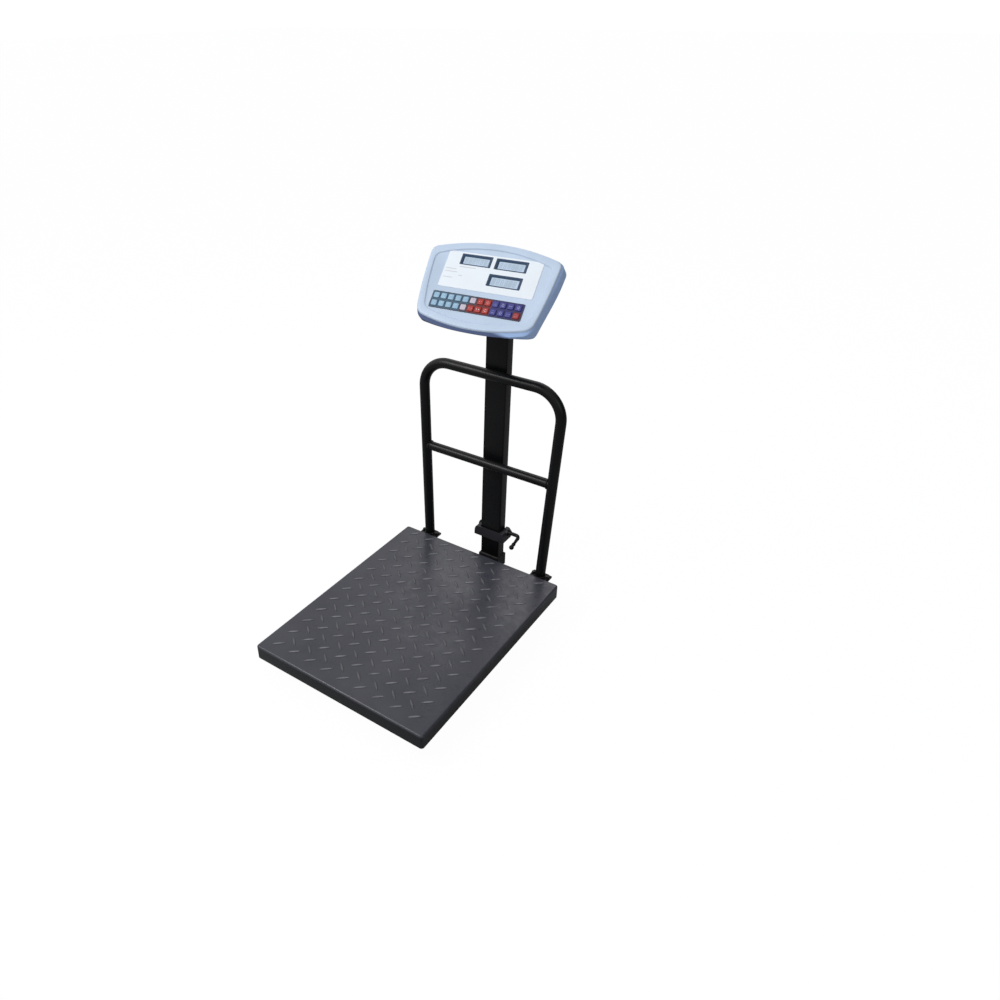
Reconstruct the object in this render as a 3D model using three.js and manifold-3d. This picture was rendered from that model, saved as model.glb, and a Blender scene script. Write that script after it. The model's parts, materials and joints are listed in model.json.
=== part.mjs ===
// Animal weighing scale: a floor platform on one load cell, with a guard rail, a folding column
// and a price-computing indicator head. Millimetres, +Z up, +X to the right of the person reading
// the display, +Y to the back. The pieces are drawn from the middle of the platform; the whole is then
// moved so that the origin is on the floor under the middle of the whole scale.
import * as THREE from 'three';
import { mergeVertices } from 'three/addons/utils/BufferGeometryUtils.js';
import Module from 'manifold-3d';

const wasm = await Module();
wasm.setup();

// ---- driving dimensions ----
const gap = 0.3; // running clearance between neighbouring pieces
const platform = { width: 400, depth: 500, top: 70, skirt: 31, sheet: 3, wall: 2 };
const panUnderside = platform.top - platform.sheet;
const middleY = 35.2; // middle of the whole scale, from the middle of the platform
const loadFrame = { halfX: 194, halfY: 244, bar: 20, wall: 2, innerBar: [28, 44] };
const loadPlate = { y0: 25, y1: 85, thickness: 6, seatY0: 35, seatY1: 75 }; // carried by the cell
const base = { bottom: 14, top: 34, outerX: 155, bar: 25, frontY: -195, rearY: 247, wall: 2.5 };
const fixedPlate = { halfX: 30, y0: -88, y1: -40, crossY0: -60, crossY1: -28, thickness: 5 };
const rearArm = { halfX: 22, y0: 100, y1: 318 }; // tube that carries the column behind the platform
const railShelf = { halfX: 22, y0: 254, y1: 280, thickness: 4 };
const cell = { halfX: 17, halfY: 75, bottom: 21, top: 54, pocketRadius: 10, pocketSpacing: 30 };
const cellBoltY = [-65, -45, 45, 65];
const panTravel = 0.5; // how far the loaded platform sinks
const bolt = { radius: 4, hexRadius: 7.5, headHeight: 5 };
const boltHole = bolt.radius + gap;
const foot = { radius: 16, padHeight: 6, stud: 5, x: 142.5, frontY: -182.5, rearY: 234.5 };
const battery = { x: -90, y: -115, width: 70, depth: 100, bottom: 16.3, top: 63.3 };
const tray = { innerX: -42, y0: -171, y1: -59, thickness: 2 };
const column = { width: 50, depth: 25, x: 4, y: 301, top: 613, wall: 2 };
const post = { width: 46, depth: 27, bottom: 34, top: 94, wall: 2, socketTop: 44, socketWall: 2.6 };
const fold = { y: 306.5, z: 111, radius: 9 }; // axis of the column's fold, along X
const collar = {
  halfX: 38, topHalfX: 31, frontY: 282.4, frontWall: 3.5, rearY: 318, floorTop: 101.7, sideTop: 104, top: 117,
  bossRadius: 9, nutSeatX: 32, nutSeatRadius: 8.5,
};
const lever = { elbowX: 65, knobX: 61, reach: 26, drop: 16, armRadius: 3.2, knobRadius: 5.5 };
const rail = { radius: 11, bore: 9.5, footX: 147, footY: 266, topX: 165, topY: 276.5 };
const crossbar = { radius: 10, bore: 8.5, z: 294 };
const railPlate = { width: 42, depth: 26, corner: 8 };
const railHeights = { plateBottom: 60, plateTop: 63, top: 497, bend: 62 };
const railBolt = { offset: 16.2, radius: 2.5, hexRadius: 4.6, headHeight: 3.5, length: 12 };
const swivel = { turnAtRest: 6.1, stem: 8, stemBore: 5, plateBottom: 617.3, plateTop: 622.3 };
const tilt = {
  y: -15, z: 653, backAtRest: 45.3, earOuter: 27, earInner: 22, earRadius: 11, earFoot: [-20, 11],
};
const head = { frontDepth: 30, backDepth: 54, face: 3, wall: 2.5, inset: 2, straightFoot: 9 };
const faceFromPivot = { depth: 75.8, rise: 18.2 };
const headLug = { inner: 15.4, outer: 21.6, radius: 10, rootHalf: 16 };
const panel = { width: 190, height: 74, x: 3, z: 27, thickness: 1.0, recess: 1.5 };
const glass = { depth: 1.5, carrierBorder: 3, carrierDepth: 5 };
const windows = { // centre x and z, then width and height of the glass
  weight: [-33, 49.5, 60, 20.5], unit_price: [38, 49, 61, 20.5], total_price: [35.5, 15.5, 64, 22],
};
const keypad = { width: 185, height: 34, x: -2.5, z: -37.5, columns: 12, pitchX: 15, pitchZ: 15.6 };
const key = { width: 11.4, height: 11, corner: 1.6, proud: 0.9, flange: 1.0, back: 4.4 };

// ---- colours ----
const paint = (color, roughness, metalness = 0) =>
  new THREE.MeshStandardMaterial({ color, roughness, metalness });
const materials = {
  treadPlate: () => paint(0x4b4b50, 0.45, 0.3),
  blackGloss: () => paint(0x15161a, 0.3, 0.3),
  frameBlack: () => paint(0x202226, 0.6, 0.3),
  castGrey: () => paint(0x55525a, 0.6, 0.4),
  steel: () => paint(0x9a9ca0, 0.35, 0.9),
  aluminium: () => paint(0xb4b7bb, 0.4, 0.8),
  rubber: () => paint(0x18181a, 0.9),
  paleBlue: () => paint(0xbcd0ea, 0.45),
  rearBlue: () => paint(0x6f86b4, 0.5),
  whitePanel: () => paint(0xf0f3f8, 0.35),
  lcd: () => paint(0x9fb3bd, 0.2),
  board: () => paint(0x1f6b3a, 0.5),
  batteryCase: () => paint(0x2c2c30, 0.6),
  keypadGround: () => paint(0x3f6f82, 0.5),
  teal: () => paint(0x7fb2bd, 0.5),
  light: () => paint(0xe8d6dc, 0.5),
  red: () => paint(0xc8322f, 0.5),
  blue: () => paint(0x4a55b0, 0.5),
  brown: () => paint(0xa03a3c, 0.5),
};

// ---- solids: three.js geometry in, manifold booleans between ----
function solidOf(geometry) {
  const bare = geometry.clone();
  bare.deleteAttribute('normal');
  bare.deleteAttribute('uv');
  const merged = mergeVertices(bare, 1e-4);
  const mesh = new wasm.Mesh({
    numProp: 3,
    vertProperties: Float32Array.from(merged.attributes.position.array),
    triVerts: Uint32Array.from(merged.index.array),
  });
  return new wasm.Manifold(mesh);
}

function geometryOf(solid) {
  const mesh = solid.getMesh();
  const geometry = new THREE.BufferGeometry();
  geometry.setAttribute('position', new THREE.BufferAttribute(mesh.vertProperties.slice(), 3));
  geometry.setIndex(new THREE.BufferAttribute(mesh.triVerts.slice(), 1));
  geometry.computeVertexNormals();
  return geometry;
}

const join = (first, ...rest) => rest.reduce((sum, solid) => sum.add(solid), first);
const cut = (first, ...rest) => rest.reduce((sum, solid) => sum.subtract(solid), first);

// a box from its lowest to its highest corner
function box([x0, y0, z0], [x1, y1, z1]) {
  const geometry = new THREE.BoxGeometry(x1 - x0, y1 - y0, z1 - z0);
  geometry.translate((x0 + x1) / 2, (y0 + y1) / 2, (z0 + z1) / 2);
  return solidOf(geometry);
}

// a round or many-sided rod between two points
function rod(start, end, radius, sides = 16) {
  const from = new THREE.Vector3(...start);
  const to = new THREE.Vector3(...end);
  const geometry = new THREE.CylinderGeometry(radius, radius, from.distanceTo(to), sides);
  const along = to.clone().sub(from).normalize();
  const turn = new THREE.Quaternion().setFromUnitVectors(new THREE.Vector3(0, 1, 0), along);
  geometry.applyQuaternion(turn);
  geometry.translate(...from.add(to).multiplyScalar(0.5));
  return solidOf(geometry);
}

function ball(centre, radius, sides = 12) {
  const geometry = new THREE.SphereGeometry(radius, sides, sides / 2);
  geometry.translate(...centre);
  return solidOf(geometry);
}

// a plan outline raised along Z
function raised(shape, bottom, top, curveSegments = 4) {
  const geometry = new THREE.ExtrudeGeometry(shape, {
    depth: top - bottom, bevelEnabled: false, curveSegments,
  });
  geometry.translate(0, 0, bottom);
  return solidOf(geometry);
}

// an outline drawn in X and Z, running from y0 to y1
function throughY(shape, y0, y1, curveSegments = 4) {
  const geometry = new THREE.ExtrudeGeometry(shape, {
    depth: y1 - y0, bevelEnabled: false, curveSegments,
  });
  geometry.rotateX(Math.PI / 2);
  geometry.translate(0, y1, 0);
  return solidOf(geometry);
}

// an outline drawn in Y and Z, running from x0 to x1
function throughX(shape, x0, x1, curveSegments = 6) {
  const geometry = new THREE.ExtrudeGeometry(shape, {
    depth: x1 - x0, bevelEnabled: false, curveSegments,
  });
  const axes = new THREE.Matrix4().makeBasis(
    new THREE.Vector3(0, 1, 0), new THREE.Vector3(0, 0, 1), new THREE.Vector3(1, 0, 0),
  );
  geometry.applyMatrix4(axes);
  geometry.translate(x0, 0, 0);
  return solidOf(geometry);
}

// a round bar that follows a path; a full arc is drawn with two points per curve segment
function sweep(path, radius, steps, sides) {
  const circle = new THREE.Shape();
  circle.absarc(0, 0, radius, 0, 2 * Math.PI, false);
  const geometry = new THREE.ExtrudeGeometry(circle, {
    steps, extrudePath: path, bevelEnabled: false, curveSegments: sides / 2,
  });
  return solidOf(geometry);
}

function roundedRectangle(width, height, radius, x = 0, y = 0) {
  const [left, right] = [x - width / 2, x + width / 2];
  const [low, high] = [y - height / 2, y + height / 2];
  const shape = new THREE.Shape();
  shape.moveTo(left + radius, low);
  shape.lineTo(right - radius, low);
  shape.absarc(right - radius, low + radius, radius, -Math.PI / 2, 0);
  shape.lineTo(right, high - radius);
  shape.absarc(right - radius, high - radius, radius, 0, Math.PI / 2);
  shape.lineTo(left + radius, high);
  shape.absarc(left + radius, high - radius, radius, Math.PI / 2, Math.PI);
  shape.lineTo(left, low + radius);
  shape.absarc(left + radius, low + radius, radius, Math.PI, 1.5 * Math.PI);
  return shape;
}

const bothSides = [-1, 1];

function addPart(group, name, solid, material) {
  const mesh = new THREE.Mesh(geometryOf(solid), material);
  mesh.name = name;
  group.add(mesh);
}

// ---- platform ----
function makePan() {
  const { width, depth, top, skirt, wall } = platform;
  const outer = raised(roundedRectangle(width, depth, 4), top - skirt, top);
  const inner = raised(roundedRectangle(width - 2 * wall, depth - 2 * wall, 2), 0, panUnderside);
  return cut(outer, inner);
}

// bars of inverted channel: [x0, y0, x1, y1] plan rectangles, open underneath
function channels(bars, bottom, top, wall) {
  const outer = bars.map(([x0, y0, x1, y1]) => box([x0, y0, bottom], [x1, y1, top]));
  const inner = bars.map(([x0, y0, x1, y1]) =>
    box([x0 + wall, y0 + wall, bottom - 1], [x1 - wall, y1 - wall, top - wall]));
  return cut(join(...outer), join(...inner));
}

function makeUpperFrame() {
  const { halfX, halfY, bar, wall, innerBar: [near, far] } = loadFrame;
  const bars = [
    [-halfX, -halfY, -halfX + bar, halfY], [halfX - bar, -halfY, halfX, halfY],
    [-halfX, -halfY, halfX, -halfY + bar], [-halfX, halfY - bar, halfX, halfY],
    [-far, -halfY, -near, halfY], [near, -halfY, far, halfY],
  ];
  const frame = channels(bars, panUnderside - bar, panUnderside, wall);
  const plate = box(
    [-halfX + bar / 2, loadPlate.y0, panUnderside - loadPlate.thickness],
    [halfX - bar / 2, loadPlate.y1, panUnderside],
  );
  const seatBottom = cell.top + panTravel + gap;
  const seat = box([-near, loadPlate.seatY0, seatBottom], [near, loadPlate.seatY1, panUnderside]);
  const pockets = cellBoltY.slice(2).flatMap((y) => [
    rod([0, y, seatBottom - 1], [0, y, panUnderside + 1], boltHole),
    rod([0, y, panUnderside - bolt.headHeight - gap], [0, y, panUnderside + 1], 8.2, 24),
  ]);
  return cut(join(frame, plate, seat), ...pockets);
}

function makeLoadCell() {
  const { halfX, halfY, bottom, top, pocketRadius, pocketSpacing } = cell;
  const middle = (bottom + top) / 2;
  const block = box([-halfX, -halfY, bottom], [halfX, halfY, top]);
  const ends = bothSides.map((side) => {
    const y = side * pocketSpacing / 2;
    return rod([-halfX - 1, y, middle], [halfX + 1, y, middle], pocketRadius, 24);
  });
  const slot = box([-halfX - 1, -pocketSpacing / 2, middle - 5], [halfX + 1, pocketSpacing / 2, middle + 5]);
  const holes = cellBoltY.map((y) => (y < 0
    ? rod([0, y, bottom - 1], [0, y, bottom + 20], boltHole)
    : rod([0, y, top - 20], [0, y, top + 1], boltHole)));
  return cut(block, ...ends, slot, ...holes);
}

// hexagon bolt standing on z = 0 with its shank pointing up
function makeHexBolt(radius, hexRadius, headHeight, length) {
  const hexagon = rod([0, 0, -headHeight], [0, 0, 0], hexRadius, 6);
  const shank = rod([0, 0, -headHeight / 2], [0, 0, length], radius);
  return join(hexagon, shank);
}

// ---- base ----
function makeBaseFrame() {
  const { bottom, top, outerX, bar, frontY, rearY, wall } = base;
  const innerX = outerX - bar;
  const { halfX: shelfHalf, y0: shelfFront, y1: shelfRear, thickness: shelfSheet } = railShelf;
  const socketX = post.width / 2 + gap + post.socketWall;
  const socketY = post.depth / 2 + gap + post.socketWall;
  const bars = [
    [-outerX, frontY, -innerX, shelfFront + 5], [innerX, frontY, outerX, shelfFront + 5],
    [-outerX, frontY, outerX, frontY + bar], [-outerX, rearY - bar, outerX, rearY],
    [-outerX, rearArm.y0, outerX, rearArm.y0 + bar],
  ];
  const frame = channels(bars, bottom, top, wall);
  const footBosses = [foot.frontY, foot.rearY].flatMap((y) => bothSides.map((side) =>
    box([side * foot.x - 11, y - 11, bottom], [side * foot.x + 11, y + 11, top - wall / 2])));
  const { halfX: plateHalf, thickness: plateSheet } = fixedPlate;
  const crossPlate = box(
    [-innerX - 1, fixedPlate.crossY0, bottom], [innerX + 1, fixedPlate.crossY1, bottom + plateSheet],
  );
  const cellPlate = box(
    [-plateHalf, fixedPlate.y0, bottom], [plateHalf, fixedPlate.y1, bottom + plateSheet],
  );
  const cellSeat = box([-20, -cell.halfY, bottom + 4], [20, -cell.halfY / 2, cell.bottom]);
  const batteryTray = box([-innerX - 1, tray.y0, bottom], [tray.innerX, tray.y1, bottom + tray.thickness]);
  const trayArm = box([tray.innerX - 8, tray.y0, bottom], [tray.innerX + 2, -40, bottom + plateSheet]);
  const brackets = bothSides.map((side) => {
    const [x0, x1] = [side * rail.footX - shelfHalf, side * rail.footX + shelfHalf];
    const shelfTop = railHeights.plateBottom;
    return join(
      box([x0, shelfFront, bottom], [x1, shelfFront + shelfSheet, shelfTop]),
      box([x0, shelfFront, shelfTop - shelfSheet], [x1, shelfRear, shelfTop]),
    );
  });
  const armTube = box(
    [column.x - rearArm.halfX, rearArm.y0, bottom],
    [column.x + rearArm.halfX, rearArm.y1, top],
  );
  const socket = box(
    [column.x - socketX, column.y - socketY, bottom],
    [column.x + socketX, column.y + socketY, post.socketTop],
  );
  const armBore = box(
    [column.x - rearArm.halfX + wall, rearArm.y0 + wall, 0],
    [column.x + rearArm.halfX - wall, rearArm.y1 - wall, top - wall],
  );
  const socketBore = box(
    [column.x - post.width / 2 - gap, column.y - post.depth / 2 - gap, post.bottom],
    [column.x + post.width / 2 + gap, column.y + post.depth / 2 + gap, 100],
  );
  const cableSlot = box([-6, 172, bottom], [6, 206, top + 1]);
  const cableHole = rod([column.x, column.y, bottom], [column.x, column.y, 100], 7);
  const bores = [
    ...cellBoltY.slice(0, 2).map((y) => rod([0, y, 0], [0, y, cell.bottom + 1], boltHole)),
    ...[foot.frontY, foot.rearY].flatMap((y) => bothSides.map((side) =>
      rod([side * foot.x, y, 0], [side * foot.x, y, top + 1], foot.stud + gap))),
    ...railBolts().map(([x, y]) =>
      rod([x, y, railHeights.plateBottom - 10], [x, y, railHeights.plateTop], railBolt.radius + gap)),
  ];
  const body = join(
    frame, ...footBosses, crossPlate, cellPlate, cellSeat, batteryTray, trayArm, ...brackets,
    armTube, socket,
  );
  return cut(body, armBore, socketBore, cableSlot, cableHole, ...bores);
}

// levelling foot: a rubber-shod disc on a threaded stud
function makeFoot() {
  const disc = rod([0, 0, 0], [0, 0, foot.padHeight - 1.5], foot.radius, 24);
  const neck = rod([0, 0, foot.padHeight - 2], [0, 0, foot.padHeight], 10, 24);
  const jamNut = rod([0, 0, foot.padHeight - 0.5], [0, 0, base.bottom - 2], 9, 6);
  const stud = rod([0, 0, 3], [0, 0, base.top - 1.5], foot.stud);
  return join(disc, neck, jamNut, stud);
}

function makeBattery() {
  const { x, y, width, depth, bottom, top } = battery;
  const block = raised(roundedRectangle(width, depth, 3, x, y), bottom, top - 2);
  const lid = raised(roundedRectangle(width - 4, depth - 4, 2, x, y), top - 3, top);
  return join(block, lid);
}

function makeBatteryStrap() {
  const { x, y, width, bottom, top } = battery;
  const thickness = 1.5;
  const [inner, outer] = [width / 2 + gap, width / 2 + gap + thickness];
  const band = box([x - outer, y - 10, bottom], [x + outer, y + 10, top + gap + thickness]);
  const hollow = box([x - inner, y - 11, 0], [x + inner, y + 11, top + gap]);
  const tabs = bothSides.map((side) => {
    const ends = [x + side * outer, x + side * (inner + 4)].sort((a, b) => a - b);
    return box([ends[0], y - 10, bottom], [ends[1], y + 10, bottom + thickness]);
  });
  return join(cut(band, hollow), ...tabs);
}

// the signal cable leaves the cell's fixed end, runs between the two frames and goes up the post
function makeCellCable() {
  const { x, y } = column;
  const level = 40.5;
  const inArm = 23;
  const path = new THREE.CatmullRomCurve3([
    [0, -cell.halfY - gap, level], [0, -90, level], [25, -106, level], [58, -92, level],
    [62, -40, level], [62, 60, level], [58, 130, level], [26, 168, level], [0, 180, level - 3],
    [0, 192, inArm + 4], [2, 208, inArm], [x, 265, inArm], [x, 292, inArm + 1],
    [x, y, inArm + 12], [x, y, 60], [x, y, 88],
  ].map((point) => new THREE.Vector3(...point)), false, 'catmullrom', 0.5);
  return sweep(path, 2.5, 64, 6);
}

// ---- guard rail ----
function railBolts() {
  return bothSides.flatMap((side) => bothSides.map((end) =>
    [side * rail.footX + end * railBolt.offset, rail.footY]));
}

// the bent tube's centre line, from one foot over the top to the other
function railPath(startZ) {
  const { footX, footY, topX, topY } = rail;
  const { plateTop, top, bend } = railHeights;
  const slope = (value, z) => value * (z - plateTop) / (top - plateTop);
  const at = (side, z, inward = 0) => new THREE.Vector3(
    side * (footX + slope(topX - footX, z) - inward), footY + slope(topY - footY, z), z,
  );
  const bulge = 0.5523 * bend; // control length that makes a Bezier a quarter circle
  const path = new THREE.CurvePath();
  const leftLegTop = at(-1, top - bend);
  const leftBarEnd = at(-1, top, bend);
  const rightBarEnd = at(1, top, bend);
  const rightLegTop = at(1, top - bend);
  path.add(new THREE.LineCurve3(at(-1, startZ), leftLegTop));
  path.add(new THREE.CubicBezierCurve3(
    leftLegTop, at(-1, top - bend + bulge), at(-1, top, bend - bulge), leftBarEnd,
  ));
  path.add(new THREE.LineCurve3(leftBarEnd, rightBarEnd));
  path.add(new THREE.CubicBezierCurve3(
    rightBarEnd, at(1, top, bend - bulge), at(1, top - bend + bulge), rightLegTop,
  ));
  path.add(new THREE.LineCurve3(rightLegTop, at(1, startZ)));
  return path;
}

function makeGuardRail() {
  const { plateBottom, plateTop, top } = railHeights;
  const share = (crossbar.z - plateTop) / (top - plateTop);
  const crossX = rail.footX + (rail.topX - rail.footX) * share;
  const crossY = rail.footY + (rail.topY - rail.footY) * share;
  const ends = bothSides.map((side) => [side * crossX, crossY, crossbar.z]);
  const tube = sweep(railPath(plateTop - 1), rail.radius, 56, 12);
  const bar = rod(ends[0], ends[1], crossbar.radius, 12);
  const tubeBore = sweep(railPath(plateBottom - 2), rail.bore, 56, 8);
  const barBore = rod(ends[0], ends[1], crossbar.bore, 8);
  const plates = bothSides.map((side) => {
    const { width, depth, corner } = railPlate;
    const outline = roundedRectangle(width, depth, corner, side * rail.footX, rail.footY);
    return raised(outline, plateBottom, plateTop);
  });
  const holes = railBolts().map(([x, y]) =>
    rod([x, y, plateBottom - 1], [x, y, plateTop + 1], railBolt.radius + gap));
  return cut(join(tube, bar, ...plates), tubeBore, barBore, ...holes);
}

// ---- column ----
function makePost() {
  const { width, depth, bottom, top, wall } = post;
  const outer = raised(roundedRectangle(width, depth, 2.5, 0, column.y), bottom, top);
  const inner = raised(roundedRectangle(width - 2 * wall, depth - 2 * wall, 1, 0, column.y), 0, 200);
  return cut(outer, inner);
}

// clamp collar: a block with sloping shoulders, a channel for the column that is open at the back,
// a boss for the lever's shoulder on one side and a sunk seat for the nut on the other
function makeHingeBracket() {
  const { halfX, topHalfX, frontY, frontWall, rearY, floorTop, sideTop, top } = collar;
  const section = new THREE.Shape();
  section.moveTo(-halfX, post.top);
  section.lineTo(halfX, post.top);
  section.lineTo(halfX, sideTop);
  section.quadraticCurveTo(halfX - 1, top - 1, topHalfX, top);
  section.lineTo(-topHalfX, top);
  section.quadraticCurveTo(-halfX + 1, top - 1, -halfX, sideTop);
  const block = throughY(section, frontY, rearY);
  const boss = rod([topHalfX - 3, fold.y, fold.z], [halfX, fold.y, fold.z], collar.bossRadius, 24);
  const channel = box(
    [-column.width / 2 - 0.5, frontY + frontWall, floorTop],
    [column.width / 2 + 0.5, rearY + 1, top + 10],
  );
  const axisHole = rod([-halfX - 1, fold.y, fold.z], [halfX + 1, fold.y, fold.z], boltHole);
  const nutSeat = rod(
    [-halfX - 1, fold.y, fold.z], [-collar.nutSeatX, fold.y, fold.z], collar.nutSeatRadius, 24,
  );
  const cableHole = rod([0, column.y - 2, post.top - 1], [0, column.y - 2, floorTop + 1], 7);
  return cut(join(block, boss), channel, axisHole, nutSeat, cableHole);
}

// box tube whose lower rear corner is rounded about the fold's axis
function makeColumnTube() {
  const { width, depth, y, top, wall } = column;
  const bottom = fold.z - fold.radius;
  const rear = y + depth / 2;
  const arcEnd = -Math.acos((rear - fold.y) / fold.radius);
  const side = new THREE.Shape();
  side.moveTo(y - depth / 2, bottom);
  side.lineTo(fold.y, bottom);
  side.absarc(fold.y, fold.z, fold.radius, -Math.PI / 2, arcEnd);
  side.lineTo(rear, top);
  side.lineTo(y - depth / 2, top);
  const outer = throughX(side, -width / 2, width / 2);
  const bore = box(
    [-width / 2 + wall, y - depth / 2 + wall, 0],
    [width / 2 - wall, y + depth / 2 - wall, top + 1],
  );
  const axisHole = rod([-width, fold.y, fold.z], [width, fold.y, fold.z], boltHole);
  return cut(outer, bore, axisHole);
}

// L-shaped clamp lever: its screw is also the fold's pivot pin
function makeClampLever() {
  const { elbowX, knobX, reach, drop, armRadius, knobRadius } = lever;
  const armEnd = [knobX, fold.y - reach, fold.z - drop];
  const shank = rod([-collar.nutSeatX - 7, fold.y, fold.z], [elbowX, fold.y, fold.z], bolt.radius);
  const shoulder = rod([collar.halfX + gap, fold.y, fold.z], [collar.halfX + 4, fold.y, fold.z], 8, 20);
  const elbow = ball([elbowX, fold.y, fold.z], 4.2);
  const arm = rod([elbowX, fold.y, fold.z], armEnd, armRadius, 12);
  return join(shank, shoulder, elbow, arm, ball(armEnd, knobRadius));
}

function makeClampNut() {
  const [inner, outer] = [-collar.nutSeatX - gap, -collar.nutSeatX - gap - 5];
  const hexagon = rod([outer, fold.y, fold.z], [inner, fold.y, fold.z], bolt.hexRadius, 6);
  const thread = rod([outer - 1, fold.y, fold.z], [inner + 1, fold.y, fold.z], boltHole);
  return cut(hexagon, thread);
}

function makeSwivelPlug() {
  const { width, depth, y, top, wall } = column;
  const insideX = width / 2 - wall - gap;
  const insideY = depth / 2 - wall - gap;
  const body = box([-insideX, y - insideY, top - 25], [insideX, y + insideY, top + 1]);
  const cap = raised(roundedRectangle(width, depth, 3, 0, y), top, top + 4);
  const bore = rod([0, y, top - 30], [0, y, top + 6], swivel.stem + gap, 24);
  return cut(join(body, cap), bore);
}

// ---- swivelling fork, drawn about the column's centre line ----
function makeSwivelBracket() {
  const { stem, stemBore, plateBottom, plateTop } = swivel;
  const { y, z, earOuter, earInner, earRadius, earFoot: [footFront, footRear] } = tilt;
  const plate = raised(roundedRectangle(2 * earOuter, 32, 5, 0, -4), plateBottom, plateTop);
  const spigot = rod([0, 0, column.top - 27], [0, 0, plateBottom + 1], stem, 24);
  const ear = new THREE.Shape();
  ear.moveTo(footFront, plateTop - 2);
  ear.lineTo(footRear, plateTop - 2);
  ear.lineTo(y + earRadius, z);
  ear.absarc(y, z, earRadius, 0, Math.PI);
  ear.lineTo(footFront, plateTop - 2);
  const ears = [throughX(ear, -earOuter, -earInner), throughX(ear, earInner, earOuter)];
  const pinHole = rod([-50, y, z], [50, y, z], boltHole);
  const cableBore = rod([0, 0, 500], [0, 0, plateTop + 1], stemBore);
  return cut(join(plate, spigot, ...ears), pinHole, cableBore);
}

function makeTiltBolt() {
  const { y, z, earOuter } = tilt;
  const end = earOuter + gap + bolt.headHeight;
  const shank = rod([-end, y, z], [end, y, z], bolt.radius);
  const hexagons = bothSides.map((side) =>
    rod([side * (earOuter + gap), y, z], [side * end, y, z], bolt.hexRadius, 6));
  return join(shank, ...hexagons);
}

// ---- indicator head: X across the face, Y into the head, Z up the face, origin mid-face ----
function headOutline(inset) {
  const [topX, topZ, midTop] = [118 - inset, 71.5 - inset, 88.5 - inset];
  const [shoulderX, shoulderZ] = [130.5 - inset, 55 - inset];
  const [waistX, waistZ] = [118 - inset, -58 + inset];
  const [lowX, lowZ, midLow] = [101 - inset, -77 + inset, -90.5 + inset];
  const shape = new THREE.Shape();
  shape.moveTo(-topX, topZ);
  shape.quadraticCurveTo(0, 2 * midTop - topZ, topX, topZ);
  shape.quadraticCurveTo(shoulderX + 1, topZ - 3, shoulderX, shoulderZ);
  shape.quadraticCurveTo(shoulderX - 2, 0, waistX, waistZ);
  shape.quadraticCurveTo(waistX - 3, lowZ + 4, lowX, lowZ);
  shape.quadraticCurveTo(0, 2 * midLow - lowZ, -lowX, lowZ);
  shape.quadraticCurveTo(-waistX + 3, lowZ + 4, -waistX, waistZ);
  shape.quadraticCurveTo(-shoulderX + 2, 0, -shoulderX, shoulderZ);
  shape.quadraticCurveTo(-shoulderX - 1, topZ - 3, -topX, topZ);
  return shape;
}

// the head's underside slopes back at 45 degrees behind a short straight foot
function undersideWedge(lift) {
  const { straightFoot, backDepth } = head;
  const wedge = new THREE.Shape();
  wedge.moveTo(straightFoot, -90 + lift * Math.SQRT2);
  wedge.lineTo(straightFoot, -200);
  wedge.lineTo(backDepth + 50, -200);
  wedge.lineTo(backDepth + 50, -90 + backDepth + 50 - straightFoot + lift * Math.SQRT2);
  return throughX(wedge, -200, 200);
}

function makeFrontHousing() {
  const { frontDepth, face, wall } = head;
  const outer = cut(throughY(headOutline(0), 0, frontDepth, 8), undersideWedge(0));
  const inner = cut(throughY(headOutline(wall), face, frontDepth + 1, 8), undersideWedge(wall));
  const [panelRecess, keypadRecess] = [[panel, 3], [keypad, 2]].map(([sheet, corner]) => throughY(
    roundedRectangle(sheet.width + 2 * gap, sheet.height + 2 * gap, corner, sheet.x, sheet.z),
    -1, panel.recess, 2,
  ));
  const keyOpening = box(
    [keypad.x - keypad.width / 2 + 2, -1, keypad.z - keypad.height / 2 + 2],
    [keypad.x + keypad.width / 2 - 2, face + 1, keypad.z + keypad.height / 2 - 2],
  );
  return cut(cut(outer, inner), panelRecess, keypadRecess, keyOpening, ...glassOpenings(gap));
}

function glassOpenings(clearance) {
  return Object.values(windows).map(([x, z, width, height]) => {
    const [halfX, halfZ] = [width / 2 + clearance, height / 2 + clearance];
    return box([x - halfX, -2, z - halfZ], [x + halfX, head.face + 1, z + halfZ]);
  });
}

function makeRearHousing() {
  const { frontDepth, backDepth, wall, inset } = head;
  const seam = frontDepth + gap;
  const outer = cut(throughY(headOutline(inset), seam, backDepth, 6), undersideWedge(0));
  const inner = cut(
    throughY(headOutline(inset + wall), seam - 1, backDepth - wall, 6), undersideWedge(wall),
  );
  const { depth, rise } = faceFromPivot;
  const lug = new THREE.Shape();
  lug.moveTo(backDepth - 1, rise - headLug.rootHalf);
  lug.lineTo(depth, rise - headLug.radius);
  lug.absarc(depth, rise, headLug.radius, -Math.PI / 2, Math.PI / 2);
  lug.lineTo(backDepth - 1, rise + headLug.rootHalf);
  const lugs = [
    throughX(lug, -headLug.outer, -headLug.inner), throughX(lug, headLug.inner, headLug.outer),
  ];
  const pinHole = rod([-50, depth, rise], [50, depth, rise], boltHole);
  const cableHole = rod([0, backDepth - 5, rise], [0, backDepth + 5, rise], 6);
  return cut(join(cut(outer, inner), ...lugs), pinHole, cableHole);
}

function makeDisplayPanel() {
  const outline = roundedRectangle(panel.width, panel.height, 3, panel.x, panel.z);
  const sheet = throughY(outline, panel.recess - gap - panel.thickness, panel.recess - gap, 2);
  return cut(sheet, ...glassOpenings(gap));
}

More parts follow.
